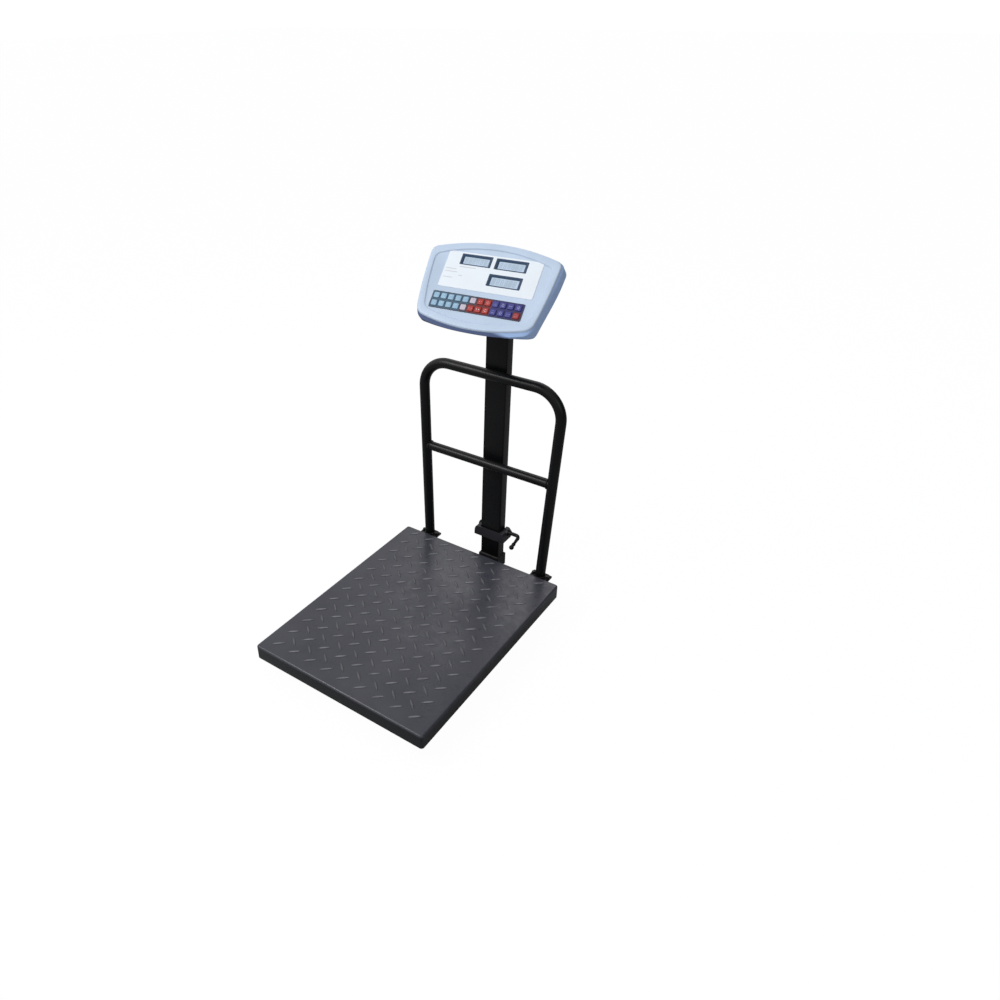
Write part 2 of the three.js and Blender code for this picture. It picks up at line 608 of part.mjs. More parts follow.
// display module: glass in the window, carrier frame behind the face
function makeDisplayModule([x, z, width, height]) {
  const { depth, carrierBorder, carrierDepth } = glass;
  const front = head.face + gap;
  const [halfX, halfZ] = [width / 2, height / 2];
  const pane = box([x - halfX, depth, z - halfZ], [x + halfX, front + 1, z + halfZ]);
  const carrier = box(
    [x - halfX - carrierBorder, front, z - halfZ - carrierBorder],
    [x + halfX + carrierBorder, front + carrierDepth, z + halfZ + carrierBorder],
  );
  return join(pane, carrier);
}

function keyCentres() {
  const centres = [];
  for (let row = 0; row < 2; row += 1) {
    for (let across = 0; across < keypad.columns; across += 1) {
      const x = keypad.x + (across - (keypad.columns - 1) / 2) * keypad.pitchX;
      const z = keypad.z + (0.5 - row) * keypad.pitchZ;
      centres.push({ row, across, x, z });
    }
  }
  return centres;
}

function makeKeypadPanel() {
  const outline = roundedRectangle(keypad.width, keypad.height, 2, keypad.x, keypad.z);
  const sheet = throughY(outline, panel.recess - gap - panel.thickness, panel.recess - gap, 2);
  const holes = keyCentres().map(({ x, z }) => throughY(
    roundedRectangle(key.width + 2 * gap, key.height + 2 * gap, key.corner, x, z), -2, 5, 1,
  ));
  return cut(sheet, ...holes);
}

// key cap with a flange that holds it behind the keypad sheet
function makeKey(x, z) {
  const flangeFront = panel.recess + gap;
  const cap = throughY(roundedRectangle(key.width, key.height, key.corner, x, z), -key.proud, key.back, 1);
  const flange = box(
    [x - key.width / 2 - key.flange, flangeFront, z - key.height / 2 - key.flange],
    [x + key.width / 2 + key.flange, flangeFront + 1.2, z + key.height / 2 + key.flange],
  );
  return join(cap, flange);
}

function makeMainBoard() {
  const front = 9.5;
  const board = box([-96, front, -58], [96, front + 1.6, 64]);
  const chips = [[-60, -20], [-20, -24], [30, -22]].map(([x, z]) =>
    box([x - 9, front + 1, z - 9], [x + 9, front + 4, z + 9]));
  const connector = box([60, front + 1, -40], [84, front + 11, -28]);
  return join(board, ...chips, connector);
}

// each key's colour group, column by column in the two rows
function keyMaterial(row, across) {
  if (row === 0) {
    if (across < 5) return materials.teal();
    if (across < 6) return materials.light();
    return across < 8 ? materials.red() : materials.blue();
  }
  if (across < 4) return materials.teal();
  if (across < 5) return materials.light();
  if (across < 8) return materials.red();
  return across < 11 ? materials.blue() : materials.brown();
}

// ---- assembly ----
const scale = new THREE.Group();
const pieces = new THREE.Group();
pieces.position.y = -middleY;
scale.add(pieces);

addPart(pieces, 'pan', makePan(), materials.treadPlate());
addPart(pieces, 'upper_frame', makeUpperFrame(), materials.frameBlack());
addPart(pieces, 'load_cell', makeLoadCell(), materials.aluminium());
addPart(pieces, 'base_frame', makeBaseFrame(), materials.frameBlack());
addPart(pieces, 'battery', makeBattery(), materials.batteryCase());
addPart(pieces, 'battery_strap', makeBatteryStrap(), materials.steel());
addPart(pieces, 'load_cell_cable', makeCellCable(), materials.rubber());

cellBoltY.forEach((y, index) => {
  const holder = new THREE.Group();
  const above = y > 0;
  holder.position.set(0, y, above ? panUnderside - bolt.headHeight : base.bottom - gap);
  if (above) holder.rotation.x = Math.PI;
  const length = above ? 24 : 25;
  const solid = makeHexBolt(bolt.radius, bolt.hexRadius, bolt.headHeight - gap, length);
  addPart(holder, `cell_bolt_${index + 1}`, solid, materials.steel());
  pieces.add(holder);
});

const corners = {
  front_left: [-foot.x, foot.frontY], front_right: [foot.x, foot.frontY],
  rear_left: [-foot.x, foot.rearY], rear_right: [foot.x, foot.rearY],
};
for (const [name, [x, y]] of Object.entries(corners)) {
  const holder = new THREE.Group();
  holder.position.set(x, y, 0);
  addPart(holder, `foot_${name}`, makeFoot(), materials.steel());
  pieces.add(holder);
}

addPart(pieces, 'guard_rail', makeGuardRail(), materials.blackGloss());
railBolts().forEach(([x, y], index) => {
  const holder = new THREE.Group();
  holder.position.set(x, y, railHeights.plateTop);
  holder.rotation.x = Math.PI;
  const { radius, hexRadius, headHeight, length } = railBolt;
  const solid = makeHexBolt(radius, hexRadius, headHeight, length);
  addPart(holder, `rail_bolt_${index + 1}`, solid, materials.steel());
  pieces.add(holder);
});

const columnGroup = new THREE.Group();
columnGroup.position.x = column.x;
pieces.add(columnGroup);
addPart(columnGroup, 'column_post', makePost(), materials.blackGloss());
addPart(columnGroup, 'hinge_bracket', makeHingeBracket(), materials.castGrey());
addPart(columnGroup, 'column_tube', makeColumnTube(), materials.blackGloss());
addPart(columnGroup, 'clamp_lever', makeClampLever(), materials.blackGloss());
addPart(columnGroup, 'clamp_nut', makeClampNut(), materials.steel());
addPart(columnGroup, 'swivel_plug', makeSwivelPlug(), materials.rubber());

const swivelGroup = new THREE.Group();
swivelGroup.position.y = column.y;
swivelGroup.rotation.z = THREE.MathUtils.degToRad(swivel.turnAtRest);
columnGroup.add(swivelGroup);
addPart(swivelGroup, 'swivel_bracket', makeSwivelBracket(), materials.blackGloss());
addPart(swivelGroup, 'tilt_bolt', makeTiltBolt(), materials.steel());

const tiltGroup = new THREE.Group();
tiltGroup.position.set(0, tilt.y, tilt.z);
tiltGroup.rotation.x = -THREE.MathUtils.degToRad(tilt.backAtRest);
swivelGroup.add(tiltGroup);

const headGroup = new THREE.Group();
headGroup.position.set(0, -faceFromPivot.depth, -faceFromPivot.rise);
tiltGroup.add(headGroup);
addPart(headGroup, 'front_housing', makeFrontHousing(), materials.paleBlue());
addPart(headGroup, 'rear_housing', makeRearHousing(), materials.rearBlue());
addPart(headGroup, 'display_panel', makeDisplayPanel(), materials.whitePanel());
addPart(headGroup, 'keypad_panel', makeKeypadPanel(), materials.keypadGround());
addPart(headGroup, 'main_board', makeMainBoard(), materials.board());
for (const [name, place] of Object.entries(windows)) {
  addPart(headGroup, `lcd_${name}`, makeDisplayModule(place), materials.lcd());
}
for (const { row, across, x, z } of keyCentres()) {
  const rowName = row === 0 ? 'top' : 'bottom';
  const number = String(across + 1).padStart(2, '0');
  addPart(headGroup, `key_${rowName}_${number}`, makeKey(x, z), keyMaterial(row, across));
}

export default scale;
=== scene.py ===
import json
import math
import random

import bmesh
import bpy
from mathutils import Matrix, Vector
from mathutils.geometry import tessellate_polygon


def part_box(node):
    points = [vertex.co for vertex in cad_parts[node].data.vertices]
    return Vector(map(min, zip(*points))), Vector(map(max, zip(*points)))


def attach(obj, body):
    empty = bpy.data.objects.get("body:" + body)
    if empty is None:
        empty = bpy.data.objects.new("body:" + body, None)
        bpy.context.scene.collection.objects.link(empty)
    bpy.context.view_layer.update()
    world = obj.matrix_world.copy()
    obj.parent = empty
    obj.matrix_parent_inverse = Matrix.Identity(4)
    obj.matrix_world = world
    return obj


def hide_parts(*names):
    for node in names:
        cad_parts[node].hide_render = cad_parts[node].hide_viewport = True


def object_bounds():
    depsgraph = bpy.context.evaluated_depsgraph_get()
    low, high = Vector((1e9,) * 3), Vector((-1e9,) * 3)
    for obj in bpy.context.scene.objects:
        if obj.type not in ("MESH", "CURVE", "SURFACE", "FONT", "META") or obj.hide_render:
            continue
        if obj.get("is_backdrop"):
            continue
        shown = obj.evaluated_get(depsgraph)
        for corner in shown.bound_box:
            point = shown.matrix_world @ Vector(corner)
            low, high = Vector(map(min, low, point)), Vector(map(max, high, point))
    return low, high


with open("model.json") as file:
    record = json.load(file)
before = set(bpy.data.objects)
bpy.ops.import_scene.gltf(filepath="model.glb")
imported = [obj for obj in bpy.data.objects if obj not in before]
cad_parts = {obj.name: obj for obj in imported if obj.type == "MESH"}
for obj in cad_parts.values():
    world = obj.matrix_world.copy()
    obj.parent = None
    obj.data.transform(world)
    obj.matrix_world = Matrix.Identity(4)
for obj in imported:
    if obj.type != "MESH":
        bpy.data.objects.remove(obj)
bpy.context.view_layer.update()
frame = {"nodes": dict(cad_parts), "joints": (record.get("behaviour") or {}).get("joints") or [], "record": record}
record = frame["record"]
joints = {joint["name"]: joint for joint in frame["joints"]}
body_of = {node: body for body, nodes in record["behaviour"]["bodies"].items() for node in nodes}
slot_of = {part["node"]: part["material_slot"] for part in record["subparts"]}
random.seed(20)

MM = 0.001  # lengths below are in millimetres, and meshes are in metres


# ---------------- reading the frame
def box_mm(node):
    low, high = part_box(node)
    return low / MM, high / MM


def middle_mm(node):
    low, high = box_mm(node)
    return (low + high) / 2


def joint_mm(name):
    return Vector(joints[name]["pos_m"]) / MM


def box_in(node, turned):
    """Lowest and highest corner of a CAD node, in millimetres, in a turned frame."""
    back = turned.inverted()
    points = [back @ (vertex.co / MM) for vertex in frame["nodes"][node].data.vertices]
    low = Vector(min(p[i] for p in points) for i in range(3))
    high = Vector(max(p[i] for p in points) for i in range(3))
    return low, high


def head_frame():
    """Head axes: X across the face, Y into the head, Z up the face; origin in the face's middle."""
    across = Vector(joints["head_tilt"]["axis"]).normalized()
    inwards = Vector(joints["key_top_01_press"]["axis"]).normalized()
    up = across.cross(inwards)
    turn = Matrix((across, inwards, up)).transposed().to_4x4()
    low, high = box_in("front_housing", turn)
    rise = 1.0  # the face's middle lies this much above the shell's
    return turn @ Matrix.Translation(((low.x + high.x) / 2, low.y, (low.z + high.z) / 2 + rise))


HEAD = head_frame()
SHELL_LOW, SHELL_HIGH = box_in("front_housing", HEAD)


# ---------------- building meshes
class Shape:
    """Points, faces and a material number for each face, gathered before they become one mesh."""

    def __init__(self):
        self.points = []
        self.faces = []
        self.slots = []

    def ring(self, points):
        start = len(self.points)
        self.points += [Vector(p) for p in points]
        return list(range(start, len(self.points)))

    def skin(self, first, second, slot=0):
        for i in range(len(first)):
            j = (i + 1) % len(first)
            self.faces.append((first[i], first[j], second[j], second[i]))
            self.slots.append(slot)

    def cap(self, ring):
        self.faces.append(tuple(ring))
        self.slots.append(0)

    def fill(self, loops, slot=0):
        """Triangles that fill a flat outline (the first loop of indices) round its holes (the rest)."""
        points = [[self.points[i] for i in loop] for loop in loops]
        flat = [i for loop in loops for i in loop]
        for triangle in tessellate_polygon(points):
            self.faces.append(tuple(flat[i] for i in triangle))
            self.slots.append(slot)

    def loft(self, rings, ends=True):
        made = [self.ring(points) for points in rings]
        for first, second in zip(made, made[1:]):
            self.skin(first, second)
        if ends:
            self.cap(made[0])
            self.cap(made[-1])
        return made

    def wrap(self, rings):
        """Skins a row of rings whose last one joins the first."""
        made = [self.ring(points) for points in rings]
        for first, second in zip(made, made[1:] + made[:1]):
            self.skin(first, second)
        return self

    def pierce(self, front_ring, back_ring, holes, front, back, slot=0):
        """Fills the front and the back of a sheet in the head's axes round holes with straight walls."""
        front_loops, back_loops = [front_ring], [back_ring]
        for hole in holes:
            near = self.ring(upright(hole, front))
            far = self.ring(upright(hole, back))
            self.skin(near, far, slot)
            front_loops.append(near)
            back_loops.append(far)
        self.fill(front_loops, slot)
        self.fill(back_loops, slot)

    def add(self, other, matrix=None, slot=None):
        start = len(self.points)
        self.points += [matrix @ p if matrix else p.copy() for p in other.points]
        self.faces += [tuple(i + start for i in face) for face in other.faces]
        self.slots += [slot if slot is not None else s for s in other.slots]


def new_object(name, data):
    made = bpy.data.objects.new(name, data)
    bpy.context.scene.collection.objects.link(made)
    return made


def make_piece(name, shape, materials, node=None, matrix=None, sharp=38, body=None):
    """One mesh object from a shape in millimetres.

    It takes the place and the body of a CAD node, or has a body of its own.
    """
    mesh = bpy.data.meshes.new(name)
    points = [(matrix @ p if matrix else p) * MM for p in shape.points]
    mesh.from_pydata(points, [], shape.faces)
    mesh.polygons.foreach_set("material_index", shape.slots)
    work = bmesh.new()
    work.from_mesh(mesh)
    bmesh.ops.remove_doubles(work, verts=work.verts, dist=1e-7)
    bmesh.ops.recalc_face_normals(work, faces=work.faces)
    work.to_mesh(mesh)
    work.free()
    for material in materials:
        mesh.materials.append(material)
    mesh.polygons.foreach_set("use_smooth", [True] * len(mesh.polygons))
    mesh.set_sharp_from_angle(angle=math.radians(sharp))
    piece = new_object(name, mesh)
    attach(piece, body or body_of[node])
    if node:
        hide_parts(node)
    return piece


def round_edges(piece, width, segments=3):
    bevel = piece.modifiers.new("rounded_edges", "BEVEL")
    bevel.width = width * MM
    bevel.segments = segments
    bevel.limit_method = "ANGLE"
    bevel.angle_limit = math.radians(35)
    bevel.harden_normals = True


# ---------------- outlines and bars, in millimetres
def arc(centre, radius, start, end, steps):
    """Points of an arc in a plane, angles in degrees, both ends included."""
    turns = [math.radians(start + (end - start) * i / steps) for i in range(steps + 1)]
    return [(centre[0] + radius * math.cos(t), centre[1] + radius * math.sin(t)) for t in turns]


def rounded_rectangle(x0, y0, x1, y1, radius, steps=6):
    corners = ((x1, y1, 0), (x0, y1, 90), (x0, y0, 180), (x1, y0, 270))
    outline = []
    for x, y, start in corners:
        centre = (x - radius if x == x1 else x + radius, y - radius if y == y1 else y + radius)
        outline += arc(centre, radius, start, start + 90, steps)
    return outline


def quadratic(start, control, end, steps):
    """Points of a quadratic curve, with its last point left out."""
    start, control, end = Vector(start), Vector(control), Vector(end)
    shares = [i / steps for i in range(steps)]
    return [start.lerp(control, t).lerp(control.lerp(end, t), t) for t in shares]


def on_axis(start, along):
    """Matrix that carries +Z to a direction and the origin to a point."""
    turn = Vector(along).to_track_quat("Z", "Y").to_matrix().to_4x4()
    return Matrix.Translation(Vector(start)) @ turn


def lathe(profile, sides=40):
    """Solid turned about Z from a profile of (radius, height)."""
    turns = [2 * math.pi * i / sides for i in range(sides)]
    shape = Shape()
    shape.loft([
        [(radius * math.cos(t), radius * math.sin(t), height) for t in turns]
        for radius, height in profile
    ])
    return shape


def sweep(path, radii, sides=28):
    """Round bar along a path of points; radii holds one radius for each point."""
    shape = Shape()
    path = [Vector(p) for p in path]
    side = None
    rings = []
    for i, point in enumerate(path):
        along = (path[min(i + 1, len(path) - 1)] - path[max(i - 1, 0)]).normalized()
        side = (along.orthogonal() if side is None else side - along * side.dot(along)).normalized()
        other = along.cross(side)
        rings.append([
            point + radii[i] * (math.cos(a) * side + math.sin(a) * other)
            for a in (2 * math.pi * k / sides for k in range(sides))
        ])
    shape.loft(rings)
    return shape


def bend_path(points, radius, steps=10):
    """Path through corner points, each corner turned with a given radius."""
    points = [Vector(p) for p in points]
    path = [points[0]]
    for before, corner, after in zip(points, points[1:], points[2:]):
        into = (corner - before).normalized()
        out = (after - corner).normalized()
        half = into.angle(out) / 2
        reach = radius * math.tan(half)
        centre_way = (out - into).normalized()
        centre = corner + centre_way * (radius / math.cos(half))
        start = corner - into * reach - centre
        axis = into.cross(out).normalized()
        for i in range(steps + 1):
            path.append(centre + Matrix.Rotation(2 * half * i / steps, 3, axis) @ start)
    path.append(points[-1])
    return path


def weld_bead(centre, along, radius, bead=1.6, sides=56):
    """Lumpy ring of weld metal round a bar where it meets another piece."""
    place = on_axis(centre, along)
    rings = []
    for i in range(sides):
        turn = Matrix.Rotation(2 * math.pi * i / sides, 4, "Z")
        size = bead * (1 + 0.22 * math.sin(i * 2.4) + random.uniform(-0.07, 0.07))
        rings.append([
            place @ turn @ Vector((radius + size * math.cos(a), 0, size * math.sin(a)))
            for a in (2 * math.pi * k / 8 for k in range(8))
        ])
    return Shape().wrap(rings)


def hex_head(corner_radius, height, sides=48):
    """Hexagon head standing on z = 0, its top corners chamfered to a circle."""
    flat = corner_radius * math.cos(math.pi / 6)

    def hexagon(scale, level, roundness=0.0):
        points = []
        for i in range(sides):
            angle = 2 * math.pi * i / sides
            to_flat = (angle + math.pi / 6) % (math.pi / 3) - math.pi / 6
            radius = scale * flat / math.cos(to_flat) * (1 - roundness) + roundness * flat
            points.append((radius * math.cos(angle), radius * math.sin(angle), level))
        return points

    shape = Shape()
    shape.loft([
        hexagon(0.97, 0), hexagon(1.0, 0.3), hexagon(1.0, height * 0.72),
        hexagon(0.97, height * 0.93, 0.8), hexagon(0.9, height, 1.0),
    ])
    return shape


def threaded_rod(radius, length, pitch=1.25, sides=24):
    """Rod along +Z whose thread is a stack of ridges."""
    root = radius * 0.8
    ridge = ((0.86, 0.15), (1.0, 0.5), (0.86, 0.85))  # shares of the radius and of the pitch
    profile = [(0.01, 0), (root, 0)]
    for turn in range(int(length / pitch)):
        profile += [(radius * out, (turn + up) * pitch) for out, up in ridge]
    profile += [(root, length), (0.01, length)]
    return lathe(profile, sides)


def raised(height):
    return Matrix.Translation((0, 0, height))


# ---------------- materials
class Nodes:
    """Short way to write the node tree of a material or of the world."""

    def __init__(self, holder, place="Object"):
        holder.use_nodes = True
        self.holder = holder
        self.tree = holder.node_tree
        self.shader = self.tree.nodes.get("Principled BSDF")
        self.place = self.add("TexCoord", output=place)

    def put(self, socket, value):
        """Gives an input a number, a vector, a colour or another node's output."""
        if isinstance(value, bpy.types.NodeSocket):
            self.tree.links.new(value, socket)
        elif socket.type == "RGBA":
            socket.default_value = (*value, 1.0)
        else:
            socket.default_value = value

    def add(self, kind, inputs=(), output=0, **settings):
        """Makes a node, fills its inputs and returns one of its outputs."""
        node = self.tree.nodes.new("ShaderNode" + kind)
        for name, value in settings.items():
            setattr(node, name, value)
        for key, value in dict(inputs).items():
            self.put(node.inputs[key], value)
        return node.outputs[output]

    def noise(self, size, detail=3.0, stretch=(1, 1, 1)):
        """Cloudy pattern from 0 to 1 whose features are about size millimetres across."""
        place = self.add("Mapping", {"Vector": self.place, "Scale": stretch})
        return self.add("TexNoise", {"Vector": place, "Scale": 1 / (size * MM), "Detail": detail}, "Fac")

    def spread(self, value, low, high, to_low=0.0, to_high=1.0):
        """Maps a stretch of a value onto another stretch, held at its ends."""
        stretch = {"From Min": low, "From Max": high, "To Min": to_low, "To Max": to_high}
        return self.add("MapRange", {"Value": value, **stretch})

    def patches(self, size, detail, low, high):
        """Cloudy pattern that runs from low to high."""
        return self.spread(self.noise(size, detail), 0.3, 0.7, low, high)

    def times(self, first, second):
        return self.add("Math", {0: first, 1: second}, operation="MULTIPLY")

    def mix(self, share, first, second):
        """Colour mix; first and second are colours or the outputs of other mixes."""
        return self.add("Mix", {"Factor": share, 6: first, 7: second}, 2, data_type="RGBA")

    def dot(self, first, second):
        return self.add("VectorMath", {0: first, 1: second}, "Value", operation="DOT_PRODUCT")

    def edges(self, radius=0.8):
        """1 along convex and concave edges, 0 on flat stretches."""
        rounded = self.add("Bevel", {"Radius": radius * MM}, samples=2)
        return self.spread(self.dot(rounded, self.add("NewGeometry", output="Normal")), 0.99, 0.8)

    def bump(self, heights, distance):
        """Bump from a list of (pattern, strength), distance in millimetres."""
        inputs = {"Distance": distance * MM}
        for pattern, strength in heights:
            inputs.update({"Height": pattern, "Strength": strength})
            inputs["Normal"] = self.add("Bump", inputs)
        self.put(self.shader.inputs["Normal"], inputs["Normal"])

    def finish(self, colour, roughness, specular=0.5, metallic=0.0, coat=0.0):
        values = {
            "Base Color": colour, "Roughness": roughness, "Specular IOR Level": specular,
            "Metallic": metallic, "Coat Weight": coat, "Coat Roughness": 0.12,
        }
        for name, value in values.items():
            self.put(self.shader.inputs[name], value)
        return self.holder


def new_material(name):
    return Nodes(bpy.data.materials.new(name))


def scaled(colour, factor):
    return tuple(min(1.0, channel * factor) for channel in colour)


def painted(name, colour, roughness, specular, grain=1.2, texture=0.25, worn=(0.25, 0.25, 0.26), wear=0.5):
    """Paint on metal: orange-peel skin, faint cloudiness, dull patches and rubbed edges."""
    n = new_material(name)
    base = n.mix(n.spread(n.noise(60), 0.35, 0.7), colour, scaled(colour, 1.5))
    rubbed = n.times(n.edges(), n.spread(n.noise(9, 5.0), 0.5, 0.68, 0, wear))
    base = n.mix(rubbed, base, worn)
    scratches = n.noise(0.8, 6.0, (1, 1, 0.08))
    n.bump([(n.noise(grain, 2.0), texture), (scratches, texture * 0.15)], 0.12)
    return n.finish(base, n.patches(25, 3.0, roughness * 0.85, roughness * 1.2), specular)


def moulded(name, colour, roughness, specular=0.45, grain=0.55, texture=0.22, variation=0.08, coat=0.0):
    """Moulded plastic: fine spark-eroded grain, slow colour drift and edges painted lighter as a highlight."""
    n = new_material(name)
    drift = n.spread(n.noise(45, 2.0), 0.3, 0.7)
    base = n.mix(drift, scaled(colour, 1 - variation), scaled(colour, 1 + variation))
    # Edges painted lighter: a painted highlight along them.
    base = n.mix(n.times(n.edges(0.6), 0.35), base, scaled(colour, 1.25))
    n.bump([(n.noise(grain, 2.0), texture)], 0.06)
    return n.finish(base, n.patches(12, 4.0, roughness * 0.85, roughness * 1.15), specular, coat=coat)


def metal(name, colour, roughness, stretch=(1, 1, 1), texture=0.15):
    """Bare or plated metal with drawn streaks and cloudy staining."""
    n = new_material(name)
    base = n.mix(n.spread(n.noise(8, 4.0), 0.35, 0.75), colour, scaled(colour, 0.72))
    n.bump([(n.noise(0.9, 5.0, stretch), texture)], 0.05)
    return n.finish(base, n.patches(4, 4.0, roughness * 0.75, roughness * 1.3), metallic=1.0)


def tread_paint(name, top, crown_wear_and_highlight_colour):
    """Dark paint on the tread plate: lug crowns rubbed lighter and lighter still as a painted highlight, the skirt
    darkened as painted shade, dust in the field, fine orange peel.
    """
    n = new_material(name)
    field = n.mix(n.spread(n.noise(70), 0.3, 0.7), (0.032, 0.033, 0.046), (0.047, 0.048, 0.062))
    field = n.mix(n.spread(n.noise(5, 6.0), 0.45, 0.75, 0, 0.5), field, (0.050, 0.053, 0.066))
    height = n.dot(n.place, (0, 0, 1))
    above = n.spread(height, (top + 0.35) * MM, (top + 1.0) * MM)
    # Lug crowns: rubbed lighter by wear, and lighter still as a painted highlight where the lugs catch the light.
    crown = n.times(above, n.spread(n.noise(14, 4.0), 0.25, 0.6, 0.35, 1.0))
    plate = n.mix(crown, field, crown_wear_and_highlight_colour)
    # The skirt below the top edge is painted near black: painted shade on the pan's sides.
    above_skirt_painted_shade = n.spread(height, (top - 5.5) * MM, (top - 3.0) * MM)
    base = n.mix(above_skirt_painted_shade, (0.005, 0.0065, 0.008), plate)
    n.bump([(n.noise(1.3, 2.0), 0.25), (n.noise(6), 0.12)], 0.12)
    return n.finish(base, n.patches(18, 5.0, 0.24, 0.38), 0.45)


def lcd_glass():
    """Unlit display: pale blue-grey with a faint cloud and a glossy polariser in front."""
    n = new_material("lcd_glass")
    base = n.mix(n.spread(n.noise(22, 1.0), 0.35, 0.65), (0.42, 0.54, 0.66), (0.50, 0.63, 0.80))
    n.bump([(n.noise(3, 2.0), 0.03)], 0.05)
    return n.finish(base, n.patches(7, 3.0, 0.12, 0.22), coat=0.6)


def shell_side_painted_shade(colour, sole_painted_shade_colour):
    """Side of the front shell in painted shade: a bluer copy of the shell colour, and a dark painted shade along
    the sole that runs out towards the right.
    """
    n = new_material("shell_side_painted_shade")
    up_and_right = HEAD.to_3x3() @ Vector((0.13, 0, 1))
    sole = (HEAD @ Vector((0, 0, SHELL_LOW.z))).dot(up_and_right)
    # The sole band is painted dark: painted shade under the head, fading out towards the right.
    above_sole_painted_shade = n.spread(n.dot(n.place, up_and_right), (sole + 12.0) * MM, (sole + 17.0) * MM)
    n.bump([(n.noise(0.55, 2.0), 0.22)], 0.06)
    return n.finish(n.mix(above_sole_painted_shade, sole_painted_shade_colour, colour), n.patches(12, 4.0, 0.4, 0.53), 0.4)


def circuit_board():
    n = new_material("circuit_board")
    tracks = n.spread(n.noise(3.0, 0.0, (1, 1, 3)), 0.49, 0.5)
    n.bump([(tracks, 0.2)], 0.1)
    base = n.mix(tracks, (0.01, 0.09, 0.03), (0.02, 0.17, 0.06))
    return n.finish(base, n.patches(9, 3.0, 0.3, 0.45))


def rubber():
    n = new_material("rubber")
    base = n.mix(n.spread(n.noise(6, 5.0), 0.4, 0.75), (0.012, 0.012, 0.013), (0.03, 0.03, 0.029))
    n.bump([(n.noise(0.7), 0.35)], 0.1)
    return n.finish(base, n.patches(5, 3.0, 0.75, 0.92), 0.3)


PAN_TOP = box_mm("pan")[1].z
M = {
    # Two copies of the tread paint: the second has darker crowns, painted shade on the lugs that lie across the
    # light.
    "tread": tread_paint("tread_paint", PAN_TOP, (0.17, 0.17, 0.19)),
    "tread_shaded": tread_paint("tread_paint_shaded", PAN_TOP, (0.09, 0.09, 0.10)),
    "gloss": painted("gloss_black_paint", (0.0035, 0.0037, 0.0042), 0.3, 0.22, worn=(0.05, 0.05, 0.052)),
    "frame": painted("frame_powder_coat", (0.010, 0.010, 0.011), 0.55, 0.3, grain=0.8, texture=0.4),
    "cast": painted("collar_paint", (0.014, 0.013, 0.017), 0.45, 0.35, texture=0.35, worn=(0.1, 0.1, 0.11)),
    "zinc": metal("zinc_plate", (0.55, 0.55, 0.57), 0.32),
    "dark_steel": metal("dark_steel", (0.10, 0.10, 0.105), 0.4),
    "aluminium": metal("milled_aluminium", (0.66, 0.67, 0.69), 0.33, (1, 0.06, 1), 0.25),
    "rubber": rubber(),
    "cable": moulded("cable_sheath", (0.02, 0.02, 0.022), 0.5, 0.35),
    "black_plastic": moulded("black_plastic", (0.016, 0.016, 0.018), 0.5, 0.35, texture=0.35),
    "shell": moulded("pale_blue_shell", (0.50, 0.61, 0.77), 0.42, variation=0.03),
    # Shell sides: a bluer copy of the shell colour for the shade they lie in, with a dark painted shade along the
    # sole.
    "shell_side_painted_shade": shell_side_painted_shade((0.44, 0.63, 1.0), (0.10, 0.14, 0.28)),
    "rear_shell": moulded("rear_blue_shell", (0.22, 0.32, 0.62), 0.45, variation=0.05),
    "panel": moulded(
        "white_panel", (0.80, 0.86, 0.93), 0.22, 0.5, grain=0.35, texture=0.06, variation=0.015, coat=0.25,
    ),
    "print": moulded("grey_print", (0.60, 0.62, 0.66), 0.3, 0.4, texture=0.05, variation=0.04),
    # Dark navy for the window recess walls and the borders round them: painted shade in the recesses.
    "bezel": moulded("window_bezel_painted_shade", (0.028, 0.062, 0.125), 0.35, 0.4, texture=0.1),
    "lcd": lcd_glass(),
    "segment": moulded("lcd_segment", (0.36, 0.46, 0.58), 0.25, 0.5, texture=0.02),
    "board": circuit_board(),
    "legend": moulded("key_legend", (0.85, 0.87, 0.92), 0.4, 0.3, texture=0.05),
    "dark_legend": moulded("dark_key_legend", (0.06, 0.07, 0.10), 0.4, 0.3, texture=0.05),
    "sheet_edge": moulded("keypad_sheet_edge", (0.012, 0.020, 0.045), 0.45),
}
KEY_GROUPS = {  # record slot: (key colour, sheet colour round it)
    "key_teal": ((0.28, 0.46, 0.63), (0.040, 0.092, 0.15)),
    "key_light": ((0.54, 0.49, 0.58), (0.035, 0.030, 0.055)),
    "key_red": ((0.40, 0.030, 0.024), (0.13, 0.006, 0.008)),
    "key_blue": ((0.048, 0.052, 0.26), (0.018, 0.016, 0.13)),
    "key_brown": ((0.34, 0.030, 0.035), (0.06, 0.008, 0.03)),
}
for group, (key_colour, sheet_colour) in KEY_GROUPS.items():
    M[group] = moulded(group, key_colour, 0.42, 0.4, texture=0.12, variation=0.06)
    M[group + "_sheet"] = moulded(group + "_sheet", sheet_colour, 0.4, 0.4, texture=0.12)


# ---------------- platform
def rounded_ring(low, high, corner, inset, level):
    """Outline of a box seen from above, moved inwards by inset; corner is its radius before that."""
    outline = rounded_rectangle(
        low.x + inset, low.y + inset, high.x - inset, high.y - inset, corner - inset,
    )
    return [(x, y, level) for x, y in outline]


def build_pan():
    """Folded steel tray: rounded top edge, hemmed skirt, hollow underneath."""
    low, high = box_mm("pan")
    edge, corner, wall, sheet, hem = 4.2, 6.0, 2.0, 3.0, 0.5
    rings = [
        rounded_ring(low, high, corner, wall, high.z - sheet),
        rounded_ring(low, high, corner, wall, low.z + hem),
        rounded_ring(low, high, corner, wall - hem, low.z),
        rounded_ring(low, high, corner, hem, low.z),
        rounded_ring(low, high, corner, 0, low.z + hem),
    ]
    for sideways, up in arc((edge, high.z - edge), edge, 180, 90, 8):
        rings.append(rounded_ring(low, high, corner, sideways, up))
    shape = Shape()
    shape.loft(rings)
    make_piece("platform_pan", shape, [M["tread"]], "pan")


